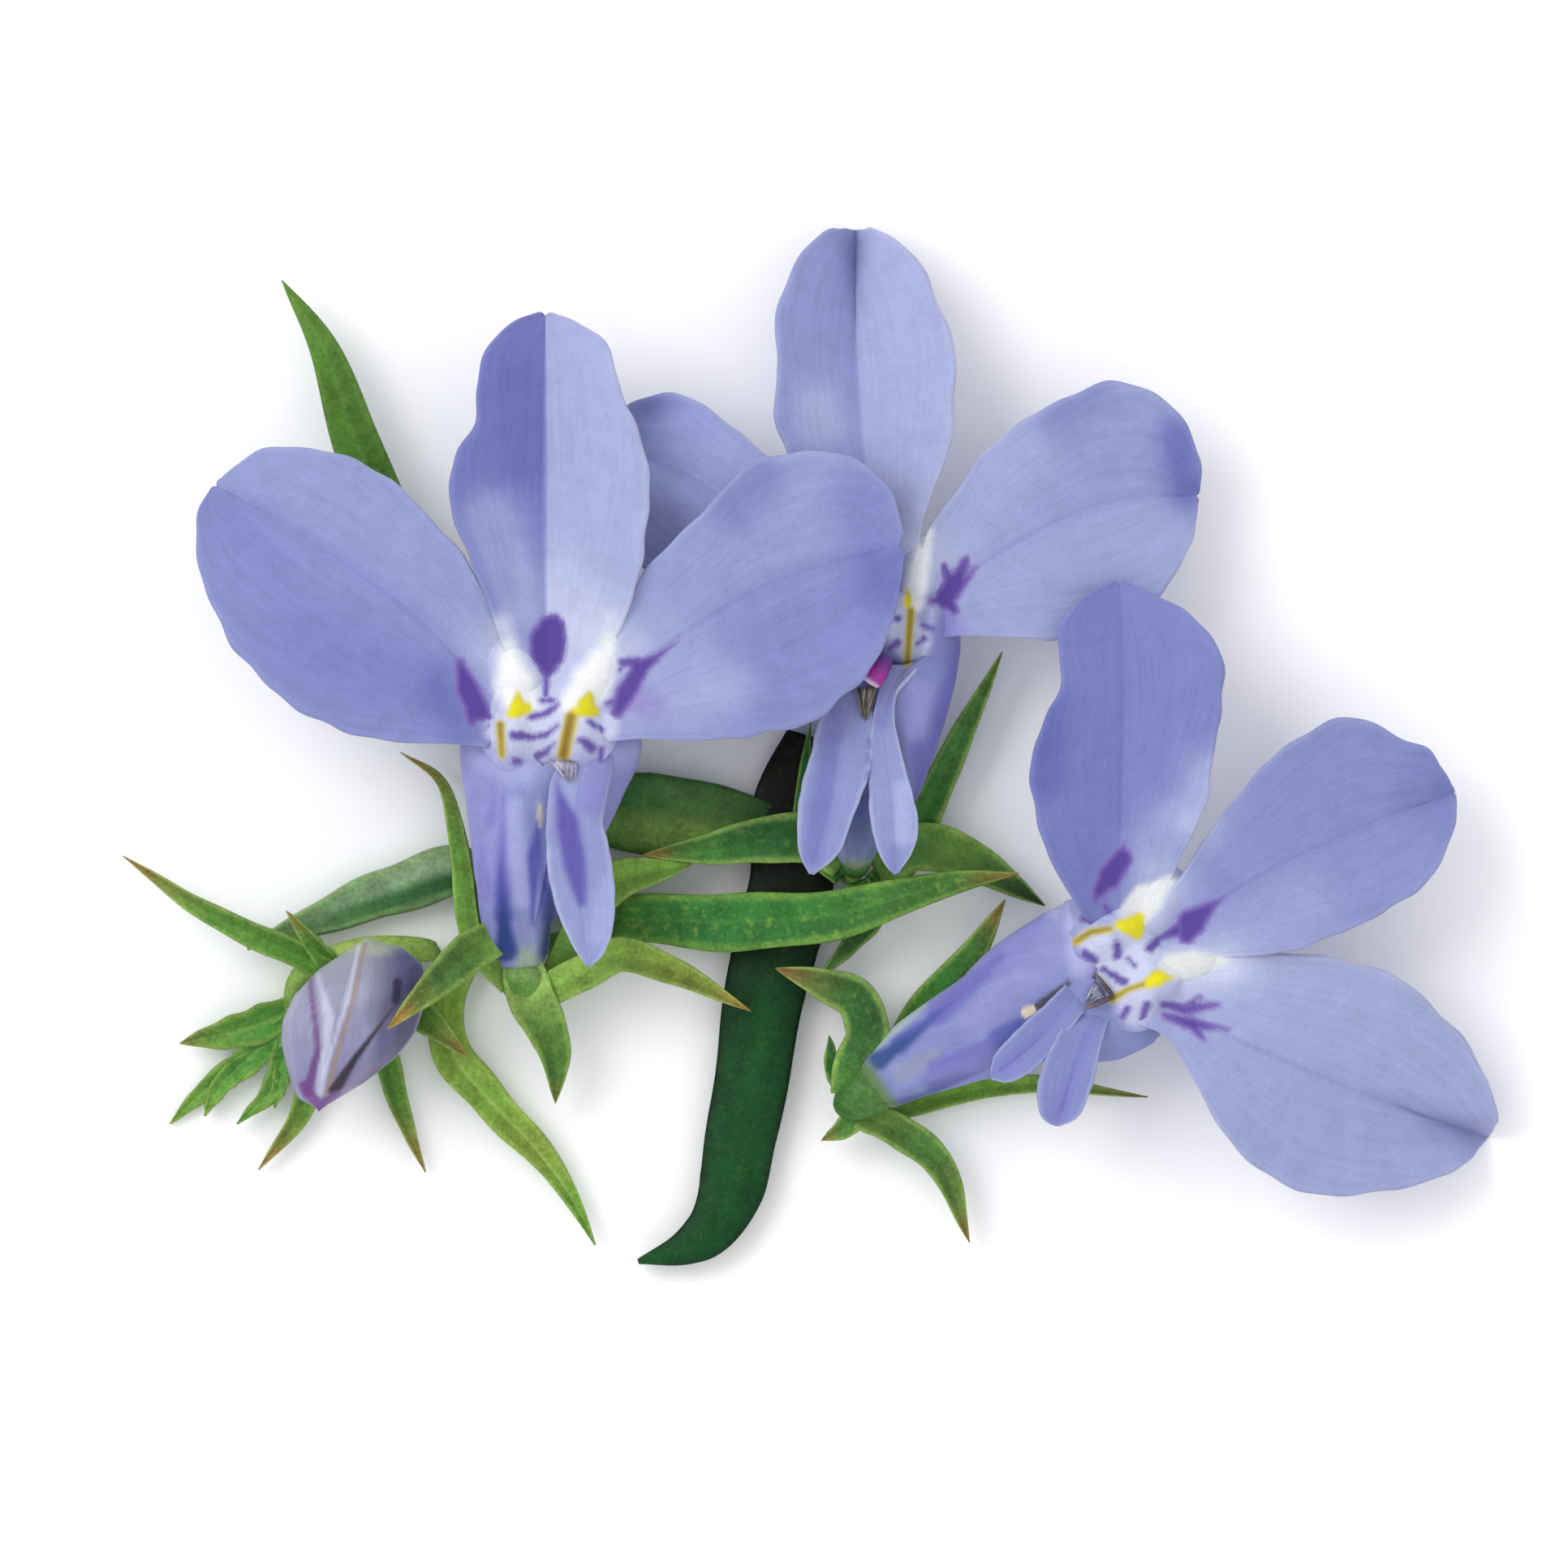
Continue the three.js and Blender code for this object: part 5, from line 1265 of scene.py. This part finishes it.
RIGHT = {
    "throat": (11.8, -8.1, 4.9),
    "shades": [
        (1.24, 2.85, 0.24, 0.34, 1.5, 0.24, 0.96, 0.3),
        (3.34, 0.18, 0.18, 1.54, -0.12, 0.24, 0.96, 0.3),
        (1, 4.2, 0.24, 1.42, 5.1, 0.15, 1.02, 0.22), (2.92, 7.05, 0.15, 2.68, 5.4, 0.18, 0.84, 0.3),
        (-3.02, 9.9, 0.12, -3.14, 6.9, 0.12, 0.66, -0.12),
        (11.14, 7.2, 0.24, 12.04, 5.7, 0.24, 1.2, -0.08),
        (6.34, 1.95, 0.3, 4.54, 0.75, 0.3, 1.2, 0.1),
    ],
    "stains_light_and_shade": [("#dfe1e2", 0.3, 1,
                [(1.54, 3.18, 0.06, 0.7, 2.46, 0.36), (0.7, 2.46, 0.45, 0.25, 1.92, 0.39)]),
               ("#dcdede", 0.3, 1,
                [(3.58, 0.21, 0.03, 2.44, 0.06, 0.27), (2.44, 0.06, 0.33, 1.6, -0.06, 0.3)]),
               ("#cdd1ea", 0.42, 0.8,
                [(-1.16, 0.9, 0.36, -0.41, -0.6, 0.48), (0.34, 0.3, 0.3, 0.34, -1.5, 0.42)])],
    "tube_stains_and_shade": [
        ("#8c8ec4", 0.66, 0.85, [(-2.48, 0.72, 0.24, -5.66, -2.1, 0.24)]),
        ("#8583c2", 0.48, 0.85, [(-3.38, 1.38, 0.09, -5, -0.06, 0.21)]),
        ("#6967b2", 0.36, 0.9, [(-4.64, 0.24, 0.03, -6.98, -1.86, 0.21)]),
        ("#b7bae2", 0.54, 0.7,
         [(-2, 1.86, 0.12, -1.76, 0, 0.12), (-2.66, 2.04, 0.06, -2.18, 2.22, 0.06)]),
        ("#7876bc", 0.42, 0.7, [(-4.76, -3.18, 0.18, -7.16, -3.96, 0.24)]),
        ("#8f96b4", 0.48, 0.8, [(-7.16, -3.3, 0.06, -8.3, -3.96, 0.18)]),
        ("#a9bdae", 0.24, 0.8,
         [(-9.5, -3.24, 0.03, -7.46, -1.5, 0), (-8.3, -5.64, 0.03, -6.26, -4.74, 0)]),
        ("#5862b0", 0.36, 0.9, [(-3.8, -1.98, 0, -4.76, -2.64, 0.18)]),
        ("#6c6cb6", 0.27, 0.7, [(-4.94, -2.82, 0.09, -7.16, -3.66, 0.06)]),
        ("#8382c2", 0.3, 0.6,
         [(-2.66, 0.12, -0.24, -4.76, -1.08, 0), (-2.96, 1.2, -0.24, -4.76, -0.18, 0.06)]),
        ("#3f4f9c", 0.3, 0.9, [(-5.78, -0.84, -0.24, -8.36, -2.94, 0.18)]),
        ("#304a86", 0.27, 0.97, [(-7.46, -2.34, -0.18, -9.14, -3.54, 0.21)]),
        ("#5a5ca6", 0.27, 0.85, [(-4.88, -3.6, -0.18, -7.16, -4.5, 0.12)]),
        ("#465292", 0.27, 0.9, [(-6.38, -4.26, -0.18, -8.48, -5.16, 0.15)]),
        ("#5c7c44", 0.54, 0.97, [(-9.74, -4.08, 0.24, -8.96, -5.28, 0.24)]),
        # Painted shade: a dark line in the gap between the first narrow lobe's edge and the tube.
        ("#4a4a58", 0.12, 0.95, [(-2.18, -0.63, 0.06, -3.35, -1.5, 0.09)]),
        ("#f2dfc0", 0.09, 0.95, [(-3.74, -1.71, 0.15, -3.56, -1.62, 0.15)]),
    ],
    "lobe_stains": [("#7a77c0", 0.36, 0.6,
                     [(-2.06, -1.5, -0.18, -4.52, -3.84, 0.09),
                      (-1.1, -1.8, -0.18, -2.48, -5.34, 0.12)]),
                    ("#6866b2", 0.15, 0.5,
                     [(-2.66, -2.16, -0.09, -4.64, -3.84, 0.03),
                      (-1.64, -2.58, -0.09, -2.42, -5.28, 0.03)])],
    "violet_reach": [
        (-0.08, 4.59, 0.03, -0.2, 4.02, 0.36), (-0.2, 3.96, 0.45, -0.68, 3.3, 0.51),
        (-0.68, 3.3, 0.45, -1.1, 2.76, 0.3), (-1.1, 2.76, 0.27, -1.22, 2.46, 0.15),
        (-0.86, 2.22, 0.15, -0.68, 1.98, 0.15), (-1.64, 1.71, 0.12, -1.31, 1.62, 0.12),
        (3.67, 2.61, 0.03, 3.1, 2.19, 0.24), (3.04, 2.16, 0.27, 2.38, 1.62, 0.57),
        (2.38, 1.56, 0.57, 2.2, 1.14, 0.36), (1.84, 1.32, 0.3, 1.3, 1.08, 0.15),
        (1.18, 1.02, 0.15, 0.82, 0.66, 0.21), (1.3, -1.38, 0.15, 2.14, -1.62, 0.24),
        (2.14, -1.62, 0.21, 2.68, -1.14, 0.12), (2.14, -1.62, 0.24, 3.34, -1.41, 0.12),
        (1.42, -1.86, 0.15, 2.44, -2.16, 0.3), (2.44, -2.16, 0.27, 3.76, -2.34, 0.06),
        (2.44, -2.22, 0.24, 2.8, -2.7, 0.12), (-0.41, 0.84, 0.15, -0.38, 0.42, 0.18),
        (-1.52, 0.48, 0.18, -1.19, 0.27, 0.15), (-0.86, -0.09, 0.12, -0.08, -0.6, 0.18),
        (0.01, 0.3, 0.09, 0.28, 0, 0.09), (-0.17, -1.8, 0.12, 0.01, -1.5, 0.12),
        (0.52, -1.86, 0.12, 0.7, -1.38, 0.15),
    ],
    "yellow_reach": [(0.46, 1.77, 0.21, 0.31, 1.2, 0.21), (0.31, 1.2, 0.18, -0.32, 1.47, 0.15),
                     (0.46, 1.71, 0.18, -0.32, 1.5, 0.12), (0.1, 1.5, 0.27, 0.16, 1.47, 0.27),
                     (1.57, -0.45, 0.06, 1.09, -0.42, 0.24),
                     (1.09, -0.48, 0.27, 0.76, -0.66, 0.18)],
    "ochre_reach": [(-0.62, 1.32, 0.12, -1.31, 1.2, 0.15), (-1.31, 1.2, 0.15, -1.85, 0.87, 0.15),
                    (0.58, -0.72, 0.12, 0.04, -0.9, 0.12), (0.04, -0.9, 0.12, -0.5, -1.23, 0.15)],
}
corolla(
    "right",
    RIGHT,
    [
        {
            "left": [(-1.3, 1.4), (-2.1, 2.6), (-3, 4.3), (-3.6, 7), (-3.2, 8.8), (-2.5, 10.3),
                     (-2.5, 12.6), (-1.5, 13.7)],
            "middle": [(-0.3, 1.6, -0.5), (-0.3, 5.5, 0.2), (-0.2, 10, 0.4), (-0.3, 14.3, 0.1)],
            "right": [(1, 1.6), (1.7, 3.4), (2.9, 6.1), (3.2, 8.1), (3.5, 9.9), (3.4, 11.6),
                      (2.5, 12.8), (1.4, 13.5)],
            "crease": 0.8, "tones": (0.34, 0.38), "soft": 0.04,
        },
        {
            "left": [(0.6, 1.6), (1.9, 3.2), (2.8, 4.6), (4.3, 6.6), (6.1, 8.3), (8.4, 9.2),
                     (10.3, 8.3), (11.2, 8), (11.6, 7.4)],
            "middle": [(1.1, 0.9, -0.4), (4.8, 3.3, 0.2), (8.8, 5.2, -0.5), (12.2, 6.4, -2)],
            "right": [(1.6, 0.1), (3.3, 0.3), (5.7, 0.5), (8.3, 1.4), (10.3, 2.5), (11.4, 3.5),
                      (12.1, 5.2)],
            "crease": 0.3, "tones": (0.5, 0.52), "soft": 0.4,
        },
        {
            "left": [(1.5, 0.15), (4.3, 0.45), (6.1, 0.45), (8.1, 0.2), (10.1, -0.5), (11.9, -2.1),
                     (13, -3.5), (13.7, -5.2)],
            "middle": [(1, -1.2, -0.5), (4.2, -2.8, -0.3), (8.4, -4.6, -1.7), (13.5, -6.4, -4.95)],
            "right": [(0.3, -2.1), (1.4, -2.6), (2.5, -4.3), (3.5, -6.1), (5, -7.6), (6.3, -8.3),
                      (8.3, -8.5), (10.3, -8.2), (12, -7.7)],
            "crease": 0.4, "tones": (0.7, 0.66), "soft": 0.3,
        },
    ],
    [
        {"left": [(-0.9, -0.9), (-1.3, -1.2), (-1.7, -1.8), (-2.4, -2.7), (-3, -3.4), (-3.7, -4),
                  (-4.4, -4.3)],
         "middle": [(-1.4, -0.5, -1.2), (-1.8, -1, -0.45), (-2.6, -1.9, -0.15), (-3.6, -3, -0.1),
                    (-5.1, -4.15, -0.4)],
         "right": [(-1.8, 0.3), (-2.1, -0.4), (-2.9, -1.3), (-3.7, -2), (-4.3, -2.6), (-4.9, -3.3)],
         "tones": (0.48, 0.44)},
        {
            "left": [(-0.4, -1), (-0.6, -1.7), (-0.8, -2.3), (-1.05, -3.2), (-1.2, -4),
                     (-1.45, -4.8), (-1.85, -5.6)],
            "middle": [(-0.9, -0.9, -1.2), (-1.2, -1.8, -0.45), (-1.6, -2.7, -0.05),
                       (-2, -3.9, 0.1), (-2.6, -5.95, -0.4)],
            "right": [(-1.4, -0.9), (-1.8, -1.6), (-2.5, -2.4), (-3.05, -3.5), (-3.35, -4.7),
                      (-3.15, -5.6)],
            "tones": (0.48, 0.46),
        },
    ],
    [[(0.3, 1, 0), (1.1, 2.2, 0.15), (1.9, 3.5, 0.3)],
     [(0.8, 0.05, 0), (2.3, 0.2, 0), (3.9, 0.4, 0.05)]],
    {"turn": -59, "half": 2.45, "from_y": 2.4, "to_y": -2.4},
    [
        (-9.6, -4.72, -2.6, 0.4, 0.4, 0),
        (-9.2, -4.42, -2.55, 0.92, 0.8, 0),
        (-7.8, -3.42, -2.4, 1.38, 1.1, 0),
        (-6.4, -2.7, -2.2, 1.65, 1.2, 0),
        (-5.05, -2.05, -1.95, 1.9, 1.3, 0),
        (-3.5, -1.1, -1.75, 2.3, 1.35, 0),
        (-2.3, -0.7, -1.65, 2.75, 1.35, 0),
        (-1.3, -0.45, -1.6, 3, 1.3, 0),
        (-0.5, -0.1, -1.65, 2.95, 1.2, 15),
        (0.2, 0.3, -1.75, 2.5, 1.05, 45),
        (0.8, 0.6, -1.9, 1.6, 0.8, 70),
    ],
    [0.45, 0.48, 0.5, 0.52, 0.56],
)

# ---- The anthers ---------------------------------------------------------------------------
# In each flower the five anthers are joined in one curved head on a thin column, which looks out
# of the split tube. Its end is closed by a brush of stiff pale hairs.

def pollen_grain(tree):
    """A grain of 0.1 mm."""
    place = node(tree, "ShaderNodeTexCoord").outputs["Object"]
    return {"Vector": place, "Scale": 1 / (0.1 * MM), "Detail": 2}


# Anther: a dull dry skin, dusted with a little pollen, so its tone is grainy and it hardly shines.
anther_skin = grained("anther_skin", 0.55, pollen_grain, (0.3, 0.7, 0.75, 1.2), 0.5, 0.04)
HAIRS = 90
HAIR_RADII = [0.035, 0.014]
SHAKE = 0.07  # mm that a hair stands out of line
FAN = 0.12  # how far the hairs stay spread where they meet


def anthers(name, throat, column, head, size, colours, brush, hair_colours):
    """A column, a head of five joined anthers along a short path, and a brush of hairs. The
    brush is given as both ends of its foot and the point where its hairs meet."""
    throat = np.array(throat)
    joined = new_piece()
    lilac = stalk_paint(["#9a8fc4", "#b9b0dc"])
    rod(joined, [throat + corner for corner in column], [0.3, 0.33], lilac)
    rod(joined, [throat + corner for corner in head], size, stalk_paint(colours), 40, 40)
    first, last, end = (np.array(corner) for corner in brush)
    scatter = random.Random(7)
    for _ in range(HAIRS):
        root = first + (last - first) * scatter.uniform(0, 1)
        sideways = FAN * (root - (first + last) / 2)
        shake = np.array([scatter.uniform(-SHAKE, SHAKE) for _ in range(3)])
        tip = root + (end + sideways - root) * scatter.uniform(0.45, 1) + shake
        tone = scatter.choice(hair_colours)
        ends = [throat + root + shake / 2, throat + tip]
        rod(joined, ends, HAIR_RADII, stalk_paint([tone, tone]), 3, 5)
    finish_piece(joined, f"{name}_anther_column", anther_skin, f"{name}_anthers")


anthers(
    "left",
    LEFT["throat"],
    [(-0.2, -3.8, -2.2), (0.2, -2.9, -1.8)],
    [(0.4, -1.15, -0.85), (0.55, -1.5, -0.6), (0.75, -2, -0.35)],
    [0.15, 0.28, 0.22, 0.08],
    ["#b1aeb4", "#a5a3a8", "#9a97a0", "#7a5f52"],
    ((-0.05, -1.35, -0.25), (1.1, -1.4, -0.25), (0.85, -2.25, 0)),
    ["#a8a6b8", "#9a97ac", "#b8b6c8", "#a39fb4"],
)
anthers(
    "back",
    BACK["throat"],
    [(-1.1, -4.2, -1.5), (-0.9, -3.4, -1.2)],
    [(-0.85, -1.1, 0.2), (-1.1, -1.6, 0.3), (-1.5, -2.15, 0.3)],
    [0.34, 0.42, 0.46, 0.44],
    ["#4f2f80", "#55217c", "#7a1f88", "#9c2392", "#a02a92", "#e8dcee"],
    ((-1.9, -2.3, 0.3), (-1.15, -2.2, 0.3), (-1.6, -3.65, 0.25)),
    ["#4a4744", "#6a6660", "#8d8778", "#5b5450", "#b8a890"],
)
anthers(
    "right",
    RIGHT["throat"],
    [(-4.4, -1.7, -1.8), (-3.4, -1.2, -1.5)],
    [(-1.2, -0.25, -0.05), (-0.9, -0.65, 0.1), (-0.62, -1.1, 0.1), (-1.1, -1.4, 0.15),
     (-1.65, -1.6, 0.05)],
    [0.05, 0.09, 0.1, 0.08, 0.05],
    ["#6a5a58", "#4a3a3c", "#3f3236", "#5a4a50", "#7a6a70"],
    ((-1.2, -0.5, -0.2), (-0.75, -1.1, -0.2), (-1.6, -1.5, -0.1)),
    ["#9a9ab4", "#8a8aa8", "#a8a8bc", "#7f7f9c"],
)
